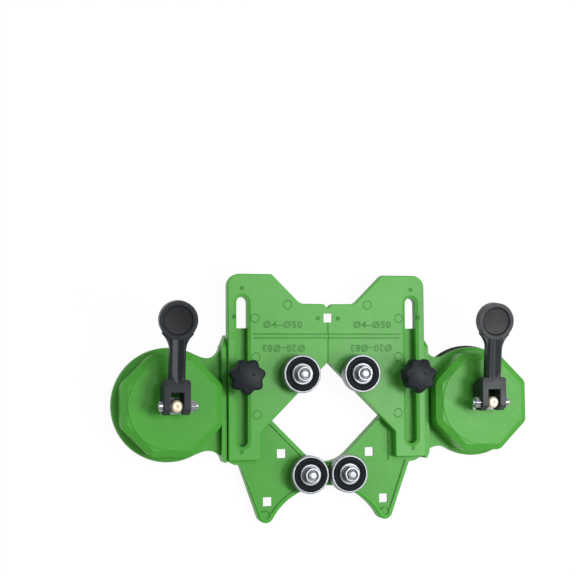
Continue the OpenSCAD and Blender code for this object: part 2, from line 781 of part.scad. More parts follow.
// Star knob: a lobed head on a stem, with a bevelled upper edge and a slight dome
module knob(side) {
    low = plate_top + knob_lift;
    high = low + knob_h;
    outer = knob_r + fit_gap;
    translate([side * clamp_x, clamp_y, 0]) color([0.14, 0.15, 0.17]) difference() {
        union() {
            disc(knob_foot_r, low, high - knob_edge);
            intersection() {
                rotate([0, 0, knob_phase]) prism(knob_outline, low + knob_foot_h, high + over);
                rotate_extrude() polygon([[0, low], [outer, low], [outer, high - knob_dome - knob_edge],
                    [outer - knob_edge / 3, high - knob_dome - knob_edge / 3],
                    [outer - knob_edge, high - knob_dome], [0, high]]);
            }
        }
        disc(clamp_bolt_r + loose_gap, low - over, clamp_bolt_top + loose_gap);
        hexagon(knob_nut_af + fit_gap, low - over, low + knob_nut_h);
    }
}

module knob_nut(side) {
    low = plate_top + knob_lift;
    translate([side * clamp_x, clamp_y, 0]) color([0.75, 0.65, 0.4]) difference() {
        hexagon(knob_nut_af, low, low + knob_nut_h);
        disc(clamp_bolt_r + fit_gap, low - over, low + 2 * knob_nut_h);
    }
}

// A bearing place is its centre and the height of the boss that it stands on
function place(row, side) = row == "upper"
    ? [side * upper_x, upper_y, plate_top + boss_h]
    : [side * lower_x, -lower_y, bed_top];
function bearing_low(row) = place(row, right).z + bush_flange_h;
function bearing_mid(row) = bearing_low(row) + bearing_h / 2;

// Moves a piece to a bearing's axis, at the middle of its width
module at_bearing(row, side) {
    translate([place(row, side).x, place(row, side).y, bearing_mid(row)]) children();
}

// Moves a piece to a bearing's axis, with its heights kept
module on_axis(row, side) {
    translate([place(row, side).x, place(row, side).y, 0]) children();
}

module race() {
    rotate_extrude() translate([pitch_r, 0]) circle(r = ball_r + fit_gap);
}

module outer_ring(row, side) {
    at_bearing(row, side) color([0.8, 0.81, 0.82]) difference() {
        disc(bearing_r, -bearing_h / 2, bearing_h / 2);
        disc(ring_shoulder_out, -bearing_h, bearing_h);
        for (z = [0, 1]) mirror([0, 0, z]) disc(seal_r, bearing_h / 2 - seal_t - seal_recess, bearing_h);
        race();
    }
}

module inner_ring(row, side) {
    at_bearing(row, side) color([0.8, 0.81, 0.82]) difference() {
        disc(ring_shoulder_in, -bearing_h / 2, bearing_h / 2);
        disc(bearing_bore_r, -bearing_h, bearing_h);
        race();
    }
}

module balls(row, side) {
    at_bearing(row, side) color([0.85, 0.86, 0.87])
        for (k = [0:ball_count - 1]) rotate([0, 0, 360 * k / ball_count])
            translate([pitch_r, 0, 0]) sphere(r = ball_r);
}

// Ribbon between the rings with a pocket round each ball
module cage(row, side) {
    at_bearing(row, side) color([0.7, 0.66, 0.55]) difference() {
        disc(pitch_r + cage_t / 2, -cage_h / 2, cage_h / 2);
        disc(pitch_r - cage_t / 2, -cage_h, cage_h);
        for (k = [0:ball_count - 1]) rotate([0, 0, 360 * k / ball_count]) translate([pitch_r - ball_r, 0, 0])
            rotate([0, 90, 0]) cylinder(r = ball_r + fit_gap, h = 2 * ball_r);
    }
}

module seals(row, side) {
    at_bearing(row, side) color([0.12, 0.12, 0.13])
        for (z = [0, 1]) mirror([0, 0, z]) difference() {
            disc(seal_r, bearing_h / 2 - seal_t - seal_recess, bearing_h / 2 - seal_recess);
            disc(ring_shoulder_in + seal_gap, 0, bearing_h);
        }
}

module bush(row, side) {
    low = place(row, side).z;
    on_axis(row, side) color([0.76, 0.77, 0.78]) difference() {
        union() {
            disc(bush_flange_r, low, low + bush_flange_h);
            disc(bush_wall_r, low, low + bush_flange_h + bearing_h - fit_gap);
        }
        disc(bolt_r + fit_gap, low - over, low + 2 * bearing_h);
    }
}

module bolt(row, side) {
    seat = place(row, side).z;
    top = bearing_low(row) + bearing_h + washer_t + nut_h + bolt_over;
    on_axis(row, side) color([0.77, 0.78, 0.79])
        neck_bolt(bolt_r, bolt_head_r, bolt_head_h, square_hole, seat - neck_h, seat - fit_gap, top);
}

module washer(row, side) {
    low = bearing_low(row) + bearing_h;
    on_axis(row, side) color([0.8, 0.81, 0.82]) difference() {
        disc(washer_r, low, low + washer_t);
        disc(bolt_r + fit_gap, low - over, low + 2 * washer_t);
    }
}

// Lock nut: a hexagon with a round collar on top
module nut(row, side) {
    low = bearing_low(row) + bearing_h + washer_t;
    on_axis(row, side) color([0.8, 0.81, 0.82]) difference() {
        union() {
            intersection() {
                hexagon(nut_af, low, low + nut_hex_h);
                translate([0, 0, low]) cylinder(r1 = nut_af, r2 = nut_af / 2, h = nut_hex_h);
            }
            disc(nut_collar_r, low, low + nut_h);
        }
        disc(bolt_r + fit_gap / 5, low - over, low + 2 * nut_h);
    }
}

module placed() {
    translate([0, -origin_y, 0]) children();
}

placed() base();
placed() slide_plate();
placed() suction_cup(left);  // left_suction_cup
placed() suction_cup(right);  // right_suction_cup
placed() post(left);  // left_post
placed() post(right);  // right_post
placed() lever(left);  // left_lever
placed() lever(right);  // right_lever
placed() lever_screw(left);  // left_lever_screw
placed() lever_screw(right);  // right_lever_screw
placed() lever_nut(left);  // left_lever_nut
placed() lever_nut(right);  // right_lever_nut
placed() wear_plate(left);  // left_wear_plate
placed() wear_plate(right);  // right_wear_plate
placed() clamp_bolt(left);  // left_clamp_bolt
placed() clamp_bolt(right);  // right_clamp_bolt
placed() clamp_washer(left);  // left_clamp_washer
placed() clamp_washer(right);  // right_clamp_washer
placed() knob(left);  // left_knob
placed() knob(right);  // right_knob
placed() knob_nut(left);  // left_knob_nut
placed() knob_nut(right);  // right_knob_nut
placed() outer_ring("upper", left);  // upper_left_outer_ring
placed() outer_ring("upper", right);  // upper_right_outer_ring
placed() outer_ring("lower", left);  // lower_left_outer_ring
placed() outer_ring("lower", right);  // lower_right_outer_ring
placed() inner_ring("upper", left);  // upper_left_inner_ring
placed() inner_ring("upper", right);  // upper_right_inner_ring
placed() inner_ring("lower", left);  // lower_left_inner_ring
placed() inner_ring("lower", right);  // lower_right_inner_ring
placed() balls("upper", left);  // upper_left_balls
placed() balls("upper", right);  // upper_right_balls
placed() balls("lower", left);  // lower_left_balls
placed() balls("lower", right);  // lower_right_balls
placed() cage("upper", left);  // upper_left_cage
placed() cage("upper", right);  // upper_right_cage
placed() cage("lower", left);  // lower_left_cage
placed() cage("lower", right);  // lower_right_cage
placed() seals("upper", left);  // upper_left_seals
placed() seals("upper", right);  // upper_right_seals
placed() seals("lower", left);  // lower_left_seals
placed() seals("lower", right);  // lower_right_seals
placed() bush("upper", left);  // upper_left_bush
placed() bush("upper", right);  // upper_right_bush
placed() bush("lower", left);  // lower_left_bush
placed() bush("lower", right);  // lower_right_bush
placed() bolt("upper", left);  // upper_left_bolt
placed() bolt("upper", right);  // upper_right_bolt
placed() bolt("lower", left);  // lower_left_bolt
placed() bolt("lower", right);  // lower_right_bolt
placed() washer("upper", left);  // upper_left_washer
placed() washer("upper", right);  // upper_right_washer
placed() washer("lower", left);  // lower_left_washer
placed() washer("lower", right);  // lower_right_washer
placed() nut("upper", left);  // upper_left_nut
placed() nut("upper", right);  // upper_right_nut
placed() nut("lower", left);  // lower_left_nut
placed() nut("lower", right);  // lower_right_nut
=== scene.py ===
"""Drill guide with two suction cups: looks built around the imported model, in metres."""
import json
import math
from contextlib import contextmanager

import bmesh
import bpy
import numpy as np
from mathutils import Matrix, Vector

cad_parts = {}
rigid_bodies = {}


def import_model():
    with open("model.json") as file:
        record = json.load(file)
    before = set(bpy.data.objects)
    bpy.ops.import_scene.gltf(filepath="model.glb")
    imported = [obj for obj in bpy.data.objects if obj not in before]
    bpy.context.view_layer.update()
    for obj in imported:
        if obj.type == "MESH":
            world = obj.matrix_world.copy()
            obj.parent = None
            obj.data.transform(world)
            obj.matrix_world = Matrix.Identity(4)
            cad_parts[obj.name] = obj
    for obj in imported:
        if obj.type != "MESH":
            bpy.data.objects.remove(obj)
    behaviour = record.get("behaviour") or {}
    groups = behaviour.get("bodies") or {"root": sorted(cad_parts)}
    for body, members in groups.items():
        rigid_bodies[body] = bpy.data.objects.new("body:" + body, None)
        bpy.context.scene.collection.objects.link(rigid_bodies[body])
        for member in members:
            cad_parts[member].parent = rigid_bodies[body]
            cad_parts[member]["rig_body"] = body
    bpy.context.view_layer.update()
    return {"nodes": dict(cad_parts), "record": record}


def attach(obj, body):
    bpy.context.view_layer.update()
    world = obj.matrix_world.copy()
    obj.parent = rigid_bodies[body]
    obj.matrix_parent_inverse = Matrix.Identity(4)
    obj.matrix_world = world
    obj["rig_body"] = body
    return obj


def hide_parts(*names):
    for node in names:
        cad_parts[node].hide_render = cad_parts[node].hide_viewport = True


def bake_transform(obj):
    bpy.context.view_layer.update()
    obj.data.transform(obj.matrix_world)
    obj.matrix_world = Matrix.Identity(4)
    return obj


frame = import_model()


# Places and sizes in millimetres, as the CAD has them

MM = 0.001
SIDES = ("left", "right")

CUP_X = 93.2
CUP_Y = -3.15
BED_TOP = 9.7
PLATE_TOP = 16.0
OCTAGON_TOP = 21.8
CROWN_TOP = 24.5
SLOT_X = 51.4
CLAMP_Y = CUP_Y + 15.9
RIB_Y = CUP_Y + 39.3

BEARINGS = {"upper_left": (-18.1, CUP_Y + 17.2, 18.8), "upper_right": (18.1, CUP_Y + 17.2, 18.8),
            "lower_left": (-11.8, CUP_Y - 41.2, 11.7), "lower_right": (11.8, CUP_Y - 41.2, 11.7)}
BEARING_R = 11
BEARING_BORE_R = 4
BEARING_H = 7
RACE_OUT_R = 9
RACE_IN_R = 6.1
SEAL_OUT_R = 9.9
SEAL_IN_R = 6.3
SEAL_SEAT = 0.9
SEAL_T = 0.8
SEAL_RECESS = 0.1

BUSH_FLANGE_R = 6
BUSH_FLANGE_H = 2
BUSH_R = 3.99
BUSH_BORE_R = 2.55
WASHER_R = 5
WASHER_T = 0.8
NUT_ACROSS = 8
NUT_TURN = 0.26
BOLT_R = 2.5
BOLT_HEAD_R = 5
BOLT_HEAD_H = 2.2
BOLT_NECK_H = 2.4

CLAMP_WASHER_R = 7
CLAMP_WASHER_T = 1.2
KNOB_LIFT = 1.25
KNOB_LOBES = 7
KNOB_R = 10.4


def mirrored(side, x, y):
    """A place on the right half, or its mirror image on the left."""
    return (x if side == "right" else -x, y)


# Finishes

def linear(red, green, blue):
    """A colour as seen on a screen, 0 to 255, turned into the linear values that shaders use."""
    shares = [x / 255 for x in (red, green, blue)]
    return tuple(x / 12.92 if x <= 0.04045 else ((x + 0.055) / 1.055) ** 2.4 for x in shares) + (1.0,)


def socket(group, name, kind, way, value=None):
    """Gives a node group one named input or output."""
    made = group.interface.new_socket(name=name, in_out=way, socket_type=kind)
    if value is not None:
        made.default_value = value


def arithmetic(nodes, links, operation, first, second):
    """A math node on an output and either a number or another output."""
    made = nodes.new("ShaderNodeMath")
    made.operation = operation
    links.new(first, made.inputs[0])
    if isinstance(second, float):
        made.inputs[1].default_value = second
    else:
        links.new(second, made.inputs[1])
    return made.outputs[0]


def surface_group():
    """Wear shared by all finishes: broad tone patches, lighter edges, uneven gloss and a fine grain."""
    group = bpy.data.node_groups.new("surface_wear", "ShaderNodeTree")
    for name, kind, value in (
        ("Tone", "NodeSocketColor", (0.5, 0.5, 0.5, 1)),
        ("Deep Tone", "NodeSocketColor", (0.4, 0.4, 0.4, 1)),
        ("Edge Tone", "NodeSocketColor", (0.8, 0.8, 0.8, 1)),
        ("Edge Share", "NodeSocketFloat", 0.3),
        ("Patch Scale", "NodeSocketFloat", 25.0),
        ("Grain Scale", "NodeSocketFloat", 2500.0),
        ("Grain Height", "NodeSocketFloat", 0.1),
        ("Gloss Low", "NodeSocketFloat", 0.4),
        ("Gloss High", "NodeSocketFloat", 0.5),
    ):
        socket(group, name, kind, "INPUT", value)
    socket(group, "Color", "NodeSocketColor", "OUTPUT")
    socket(group, "Roughness", "NodeSocketFloat", "OUTPUT")
    socket(group, "Normal", "NodeSocketVector", "OUTPUT")
    nodes, links = group.nodes, group.links
    given = nodes.new("NodeGroupInput")
    out = nodes.new("NodeGroupOutput")
    place = nodes.new("ShaderNodeTexCoord")

    def fed(target, value):
        """Links an input of the group by its name, or sets a number."""
        if isinstance(value, str):
            links.new(given.outputs[value], target)
        else:
            target.default_value = value

    def noise(scale, detail, rough):
        made = nodes.new("ShaderNodeTexNoise")
        made.inputs["Detail"].default_value = detail
        made.inputs["Roughness"].default_value = rough
        links.new(place.outputs["Object"], made.inputs["Vector"])
        fed(made.inputs["Scale"], scale)
        return made.outputs["Fac"]

    def spread(source, low, high, to_low, to_high):
        made = nodes.new("ShaderNodeMapRange")
        links.new(source, made.inputs["Value"])
        made.inputs["From Min"].default_value = low
        made.inputs["From Max"].default_value = high
        fed(made.inputs["To Min"], to_low)
        fed(made.inputs["To Max"], to_high)
        return made.outputs["Result"]

    def mixed(share, first, second):
        made = nodes.new("ShaderNodeMix")
        made.data_type = "RGBA"
        links.new(share, made.inputs["Factor"])
        links.new(first, made.inputs["A"])
        links.new(second, made.inputs["B"])
        return made.outputs["Result"]

    patches = noise("Patch Scale", detail=5, rough=0.55)
    tone = mixed(spread(patches, 0.35, 0.65, 0, 1), given.outputs["Deep Tone"], given.outputs["Tone"])
    shape = nodes.new("ShaderNodeNewGeometry")
    edge = spread(shape.outputs["Pointiness"], 0.502, 0.54, 0, 1)
    rubbed = noise(380, detail=4, rough=0.6)
    worn = arithmetic(nodes, links, "MULTIPLY", edge, spread(rubbed, 0.3, 0.7, 0, "Edge Share"))
    links.new(mixed(worn, tone, given.outputs["Edge Tone"]), out.inputs["Color"])
    smear = noise(90, detail=6, rough=0.65)
    links.new(spread(smear, 0.3, 0.7, "Gloss Low", "Gloss High"), out.inputs["Roughness"])
    bump = nodes.new("ShaderNodeBump")
    bump.inputs["Distance"].default_value = 0.00005
    links.new(given.outputs["Grain Height"], bump.inputs["Strength"])
    links.new(noise("Grain Scale", detail=3, rough=0.5), bump.inputs["Height"])
    links.new(bump.outputs["Normal"], out.inputs["Normal"])
    return group


WEAR = surface_group()


def finish(name, tone, deep, edge, edge_share, patch, grain, height, gloss, metal=0.0, specular=0.5,
           streaks=None):
    """A material: the shared wear feeds one Principled shader, and each constant sits on the shader. Tones
    are screen colours. Streaks are a noise stretched along X, given as its scale along X, Y and Z, which
    adds shallow lines to the normal."""
    made = bpy.data.materials.new(name)
    made.use_nodes = True
    nodes, links = made.node_tree.nodes, made.node_tree.links
    shader = nodes["Principled BSDF"]
    wear = nodes.new("ShaderNodeGroup")
    wear.node_tree = WEAR
    for key, value in (("Tone", linear(*tone)), ("Deep Tone", linear(*deep)), ("Edge Tone", linear(*edge)),
                       ("Edge Share", edge_share), ("Patch Scale", patch), ("Grain Scale", grain),
                       ("Grain Height", height), ("Gloss Low", gloss[0]), ("Gloss High", gloss[1])):
        wear.inputs[key].default_value = value
    links.new(wear.outputs["Color"], shader.inputs["Base Color"])
    links.new(wear.outputs["Roughness"], shader.inputs["Roughness"])
    links.new(wear.outputs["Normal"], shader.inputs["Normal"])
    if streaks:
        place = nodes.new("ShaderNodeTexCoord")
        stretch = nodes.new("ShaderNodeMapping")
        stretch.inputs["Scale"].default_value = streaks
        lines = nodes.new("ShaderNodeTexNoise")
        lines.inputs["Scale"].default_value = 1.0
        lines.inputs["Detail"].default_value = 2.0
        bump = nodes.new("ShaderNodeBump")
        bump.inputs["Strength"].default_value = 0.7
        bump.inputs["Distance"].default_value = 0.0001
        links.new(place.outputs["Object"], stretch.inputs["Vector"])
        links.new(stretch.outputs["Vector"], lines.inputs["Vector"])
        links.new(lines.outputs["Fac"], bump.inputs["Height"])
        links.new(wear.outputs["Normal"], bump.inputs["Normal"])
        links.new(bump.outputs["Normal"], shader.inputs["Normal"])
    shader.inputs["Metallic"].default_value = metal
    shader.inputs["Specular IOR Level"].default_value = specular
    return made


FINISHES = {
    "base_plastic": finish("base_plastic", (80, 165, 61), (74, 157, 55), (84, 186, 56), edge_share=0.2,
                           patch=16, grain=3200, height=0.12, gloss=(0.34, 0.42), specular=0.2),
    "plate_plastic": finish("plate_plastic", (84, 167, 67), (79, 161, 62), (88, 188, 60), edge_share=0.2,
                            patch=14, grain=3600, height=0.12, gloss=(0.33, 0.40), specular=0.24),
    "cup_rubber": finish("cup_rubber", (24, 25, 27), (18, 19, 20), (60, 60, 62), edge_share=0.3, patch=40,
                         grain=1800, height=0.4, gloss=(0.45, 0.6)),
    "lever_plastic": finish("lever_plastic", (26, 32, 38), (19, 24, 30), (68, 73, 79), edge_share=0.3,
                            patch=120, grain=900, height=0.5, gloss=(0.34, 0.44), specular=0.26),
    "knob_plastic": finish("knob_plastic", (17, 24, 31), (12, 18, 25), (60, 64, 71), edge_share=0.3,
                           patch=70, grain=2400, height=0.3, gloss=(0.42, 0.5), specular=0.2),
    "post_steel": finish("post_steel", (238, 226, 200), (222, 208, 180), (250, 244, 232), edge_share=0.4,
                         patch=200, grain=3000, height=0.2, gloss=(0.42, 0.55), metal=0.4),
    "zinc_steel": finish("zinc_steel", (168, 171, 176), (142, 145, 151), (212, 214, 217), edge_share=0.5,
                         patch=260, grain=3000, height=0.08, gloss=(0.42, 0.54), metal=1.0),
    "bearing_steel": finish("bearing_steel", (146, 148, 154), (130, 132, 138), (190, 192, 197),
                            edge_share=0.5, patch=240, grain=5000, height=0.08, gloss=(0.42, 0.52),
                            metal=1.0),
    "seal_rubber": finish("seal_rubber", (15, 22, 28), (11, 17, 23), (62, 66, 71), edge_share=0.2,
                          patch=150, grain=3000, height=0.3, gloss=(0.46, 0.58), specular=0.1),
    "cage_steel": finish("cage_steel", (190, 188, 182), (170, 168, 160), (220, 218, 212), edge_share=0.4,
                         patch=240, grain=3000, height=0.2, gloss=(0.28, 0.42), metal=1.0),
    "insert_brass": finish("insert_brass", (206, 170, 96), (186, 148, 78), (232, 206, 140), edge_share=0.4,
                           patch=200, grain=3000, height=0.2, gloss=(0.24, 0.4), metal=1.0),
}
# Painted highlight: the rounded edges of base and plate take a more saturated green that stands in for lit
# rims.
RIM_HIGHLIGHT_FINISH = finish("rim_highlight_painted_plastic", (60, 172, 36), (54, 164, 32), (84, 198, 52), edge_share=0.3,
                     patch=30, grain=3200, height=0.12, gloss=(0.34, 0.42), specular=0.26)
# Painted shade: a darker green for the raised figures, rings and rib lines on the plate, standing in for the
# shade these low marks show.
SHADE_MARK_FINISH = finish("plate_mark_painted_shade", (58, 135, 45), (52, 126, 40), (82, 158, 62), edge_share=0.2, patch=60, grain=3600,
              height=0.12, gloss=(0.38, 0.46), specular=0.2)
# Painted shade: a darker zinc for the washers under the bearing nuts, standing in for the shade and dark
# reflection round the nut.
WASHER_SHADE_ZINC = finish("washer_zinc_painted_shade", (118, 120, 125), (92, 94, 99), (158, 160, 164), edge_share=0.4, patch=260,
                   grain=3000, height=0.25, gloss=(0.44, 0.56), metal=1.0)
PADDLE_GRAIN = finish("paddle_grain", (9, 13, 18), (6, 9, 14), (58, 64, 70), edge_share=0.3, patch=160,
                      grain=1400, height=0.5, gloss=(0.38, 0.5), specular=0.25, streaks=(90, 1600, 90))
BRIGHT_ZINC = finish("bright_zinc", (176, 178, 183), (148, 151, 157), (236, 237, 240), edge_share=0.4,
                     patch=260, grain=3000, height=0.2, gloss=(0.18, 0.3), metal=1.0)


SLOTS = {row["node"]: row["material_slot"] for row in frame["record"]["subparts"]}
for name, piece in frame["nodes"].items():
    piece.data.materials.clear()
    piece.data.materials.append(FINISHES[SLOTS[name]])


# Meshes

SEAM_GAP = 2e-7


def linked(name, mesh, paint):
    """An object in the scene for a mesh, in one finish."""
    piece = bpy.data.objects.new(name, mesh)
    bpy.context.scene.collection.objects.link(piece)
    mesh.materials.clear()
    mesh.materials.append(paint)
    return piece


def place_mesh(name, mesh, node, edges=35, paint=None, body=None, bend=None):
    """Links a finished mesh, shades it smooth except at sharp edges, and lets it stand for a node. It moves
    with the node's body or the one given; when bend is given its transform is baked in and it moves with
    no body. The bodies, point and heights in bend are not used."""
    piece = linked(name, mesh, paint or FINISHES[SLOTS[node]])
    mesh.shade_smooth()
    mesh.set_sharp_from_angle(angle=math.radians(edges))
    if bend:
        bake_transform(piece)
    else:
        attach(piece, body or frame["nodes"][node]["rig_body"])
    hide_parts(node)
    return piece


@contextmanager
def edited(mesh):
    """Opens a mesh for bmesh's operations and writes it back at the end."""
    work = bmesh.new()
    work.from_mesh(mesh)
    yield work
    work.to_mesh(mesh)
    work.free()


def array_of(items, name, width=1, kind=float):
    """One attribute of all of a mesh's items as an array, with a row for each item where it has several
    values."""
    made = np.empty(len(items) * width, kind)
    items.foreach_get(name, made)
    return made.reshape(-1, width) if width > 1 else made


def net(rows, columns, along):
    """Quads on a grid of points: columns join round, rows join where asked. Corner (i, j) goes to (i, j+1),
    (i+1, j+1) and (i+1, j)."""
    index = np.arange(rows * columns).reshape(rows, columns)
    index = np.concatenate([index, index[:, :1]], 1)
    if along:
        index = np.concatenate([index, index[:1]], 0)
    return np.stack([index[:-1, :-1], index[:-1, 1:], index[1:, 1:], index[1:, :-1]], -1).reshape(-1, 4)


def mesh_of(name, points, faces):
    """A mesh from points in millimetres and the faces' corners."""
    mesh = bpy.data.meshes.new(name)
    mesh.from_pydata((points.reshape(-1, 3) * MM).tolist(), [], faces.tolist())
    return mesh


def woven(name, grid, node, edges=35, along=False, paint=None, body=None, bend=None):
    """Rows and columns of points become a closed piece: seams and poles are joined and faces point
    outwards."""
    mesh = mesh_of(name, grid, net(*grid.shape[:2], along))
    with edited(mesh) as work:
        bmesh.ops.remove_doubles(work, verts=work.verts, dist=SEAM_GAP)
        bmesh.ops.recalc_face_normals(work, faces=work.faces)
    place_mesh(name, mesh, node, edges, paint, body, bend)


# CAD shapes with rounded edges

WELDS = {
    "slide_plate": [(3.6, 0, 54, 80, 0, 30, 0.5), (3.6, 0, 15, 24, 0, 30, 0.9),
                    (61, 40, -36, -33.6, 0, 30, 0.9)],
    "base": [(61, 0, -80, 80, 9.6, 9.8, 0.2), (125, 64, -80, 80, 21.7, 22.0, 0.45)],
}
JOIN_GAP = 3e-6
SLIVER = 2e-6
FLAT_TURN = math.radians(0.4)
SMOOTH_TURN = math.radians(50)
STRAIGHT_TURN = 0.1
LEAST_SINE = 0.02
RUN_PASSES = 400
NARROWING_PASSES = 60
NARROWEST_STEP = 0.7
ROOM_SHARE = 0.9
LEAST_WIDTH = 0.06
BEVEL_SEGMENTS = 3
LEVEL_GAP = 0.02
TALL_WALL = 5


def merged_copy(node):
    """The mesh of a CAD node with its loose triangles joined and its flat faces made whole. Short edges are
    drawn together in the node's boxes, which give the largest and least distance from the middle, y from
    and to, z from and to, and the length of edge that is short."""
    mesh = frame["nodes"][node].data.copy()
    if "custom_normal" in mesh.attributes:
        mesh.attributes.remove(mesh.attributes["custom_normal"])
    with edited(mesh) as work:
        bmesh.ops.remove_doubles(work, verts=work.verts, dist=JOIN_GAP)
        for far, near, y_from, y_to, z_from, z_to, length in WELDS.get(node, ()):
            inside = [v for v in work.verts
                      if near <= abs(v.co.x) / MM <= far and y_from <= v.co.y / MM <= y_to
                      and z_from <= v.co.z / MM <= z_to]
            bmesh.ops.remove_doubles(work, verts=inside, dist=length * MM)
        bmesh.ops.dissolve_degenerate(work, dist=SLIVER, edges=work.edges)
        bmesh.ops.dissolve_limit(work, angle_limit=FLAT_TURN, verts=work.verts, edges=work.edges)
    return mesh


def edge_facts(mesh):
    """For each edge of a closed mesh, in millimetres: its two ends, the normals of its two faces, and the
    lowest and highest point of each of those faces."""
    points = array_of(mesh.vertices, "co", 3) / MM
    loop_edge = array_of(mesh.loops, "edge_index", kind=int)
    loop_point = array_of(mesh.loops, "vertex_index", kind=int)
    sizes = array_of(mesh.polygons, "loop_total", kind=int)
    owner = np.repeat(np.arange(len(sizes)), sizes)
    low = np.full(len(sizes), np.inf)
    high = np.full(len(sizes), -np.inf)
    np.minimum.at(low, owner, points[loop_point, 2])
    np.maximum.at(high, owner, points[loop_point, 2])
    order = np.argsort(loop_edge, kind="stable")
    every = np.arange(len(mesh.edges))
    first = np.searchsorted(loop_edge[order], every)
    last = np.searchsorted(loop_edge[order], every, side="right") - 1
    pair = owner[order[np.stack([first, last], 1)]]
    ends = array_of(mesh.edges, "vertices", 2, int)
    return points[ends], array_of(mesh.polygons, "normal", 3)[pair], low[pair], high[pair]


def lengths_and_ways(vectors):
    """The length of each row, and the row made one long."""
    length = np.linalg.norm(vectors, axis=1)
    return length, vectors / np.maximum(length, 1e-9)[:, None]


def smooth_runs(points, ends, widths):
    """A number for each edge, which rounded edges share where two of them run on at a turn under
    SMOOTH_TURN. In each pass the least number spreads a step further along its run."""
    round_edge = np.where(widths > 0)[0]
    tip = ends[round_edge].T.ravel()
    owner = np.concatenate([round_edge, round_edge])
    away = lengths_and_ways(points[ends[round_edge][:, ::-1].T.ravel()] - points[tip])[1]
    order = np.argsort(tip, kind="stable")
    a, b = order[:-1], order[1:]
    smooth = (tip[a] == tip[b]) & ((away[a] * away[b]).sum(1) < -math.cos(SMOOTH_TURN))
    first, second = owner[a[smooth]], owner[b[smooth]]
    run = np.arange(len(widths))
    for _ in range(RUN_PASSES):
        least = np.minimum(run[first], run[second])
        np.minimum.at(run, first, least)
        np.minimum.at(run, second, least)
        run = run[run]
    return run


def fitted(mesh, widths):
    """Rounding widths in millimetres that have room. Edges that run on smoothly share one width. In a face,
    an edge of width w that follows one of width v at a turn of d loses (v - w cos d) / sin d of its length
    there, and each run of edges is narrowed until no edge loses more than ROOM_SHARE of what it has."""
    points = array_of(mesh.vertices, "co", 3) / MM
    edge = array_of(mesh.loops, "edge_index", kind=int)
    corner = array_of(mesh.loops, "vertex_index", kind=int)
    sizes = array_of(mesh.polygons, "loop_total", kind=int)
    up = np.repeat(array_of(mesh.polygons, "normal", 3), sizes, 0)
    start = np.repeat(np.cumsum(sizes) - sizes, sizes)
    here = np.arange(len(edge))
    size = np.repeat(sizes, sizes)
    after = start + (here - start + 1) % size
    before = start + (here - start - 1) % size
    length, along = lengths_and_ways(points[corner[after]] - points[corner])
    turn = np.arctan2((np.cross(along[before], along) * up).sum(1), (along[before] * along).sum(1))
    run = smooth_runs(points, array_of(mesh.edges, "vertices", 2, int), widths)
    weight = np.bincount(edge, length, len(widths))
    total = np.bincount(run, weight * widths, len(widths))
    width = total / np.maximum(np.bincount(run, weight, len(widths)), 1e-9)
    sine = np.where(np.abs(turn) < LEAST_SINE, LEAST_SINE, np.sin(turn))
    for _ in range(NARROWING_PASSES):
        now = np.where(widths > 0, width[run], 0)
        w, v = now[edge], now[edge[before]]
        running = (np.abs(turn) < STRAIGHT_TURN) & ((w == 0) | (v == 0))
        lost_here = np.where(running, 0, (v - w * np.cos(turn)) / sine)
        lost_there = np.where(running, 0, (w - v * np.cos(turn)) / sine)[after]
        lost = np.maximum(lost_here, 0) + np.maximum(lost_there, 0)
        share = lost / (ROOM_SHARE * np.maximum(length, 1e-6))
        over = share > 1
        if not over.any():
            break
        cut = np.ones(len(widths))
        for side in (edge, edge[before], edge[after]):
            np.minimum.at(cut, run[side[over]], np.maximum(1 / share[over], NARROWEST_STEP))
        width = width * cut
        width = np.where(width < LEAST_WIDTH, 0, width)
    return np.where(widths > 0, width[run], 0)


def even(width):
    """A rule that asks for one width on every edge."""
    return lambda ends, normals, low, high: np.full(len(ends), width)


def dressed(node, rule, edges=35, least=28, trim=None, rim_highlight_paint=None, paint=None):
    """A CAD node's own shape with its edges rounded, by the widths that a rule gives from the edges' facts.
    Edges that turn by less than the least angle in degrees stay as they are."""
    mesh = merged_copy(node)
    if trim:
        trim(mesh)
    piece = place_mesh(node + "_skin", mesh, node, edges, paint)
    ends, normals, low, high = edge_facts(mesh)
    cosine = (normals[:, 0] * normals[:, 1]).sum(-1)
    wanted = np.where(cosine > math.cos(math.radians(least)), 0, rule(ends, normals, low, high))
    widths = fitted(mesh, wanted)
    widest = float(widths.max())
    weights = mesh.attributes.new("bevel_weight_edge", "FLOAT", "EDGE")
    weights.data.foreach_set("value", (widths / widest).astype(np.float32))
    bevel = piece.modifiers.new("rounded_edges", "BEVEL")
    bevel.width = widest * MM
    bevel.segments = BEVEL_SEGMENTS
    bevel.limit_method = "WEIGHT"
    bevel.use_clamp_overlap = True
    bevel.harden_normals = True
    # The rounded faces take the painted rim highlight, a saturated green standing in for lit rims.
    if rim_highlight_paint:
        mesh.materials.append(rim_highlight_paint)
        bevel.material = 1


def level(ends, height):
    """Which edges lie at one height."""
    return (np.abs(ends[..., 2] - height) < LEVEL_GAP).all(-1)


def top_edge(ends, normals, low, high, height):
    """Which edges at a height join a level top with an upright wall that is at least TALL_WALL high."""
    upright = (np.abs(normals[..., 2]) < 0.1) & (high - low > TALL_WALL)
    top = normals[..., 2] > 0.99
    return level(ends, height) & ((upright[:, 0] & top[:, 1]) | (upright[:, 1] & top[:, 0]))


# Turned shapes

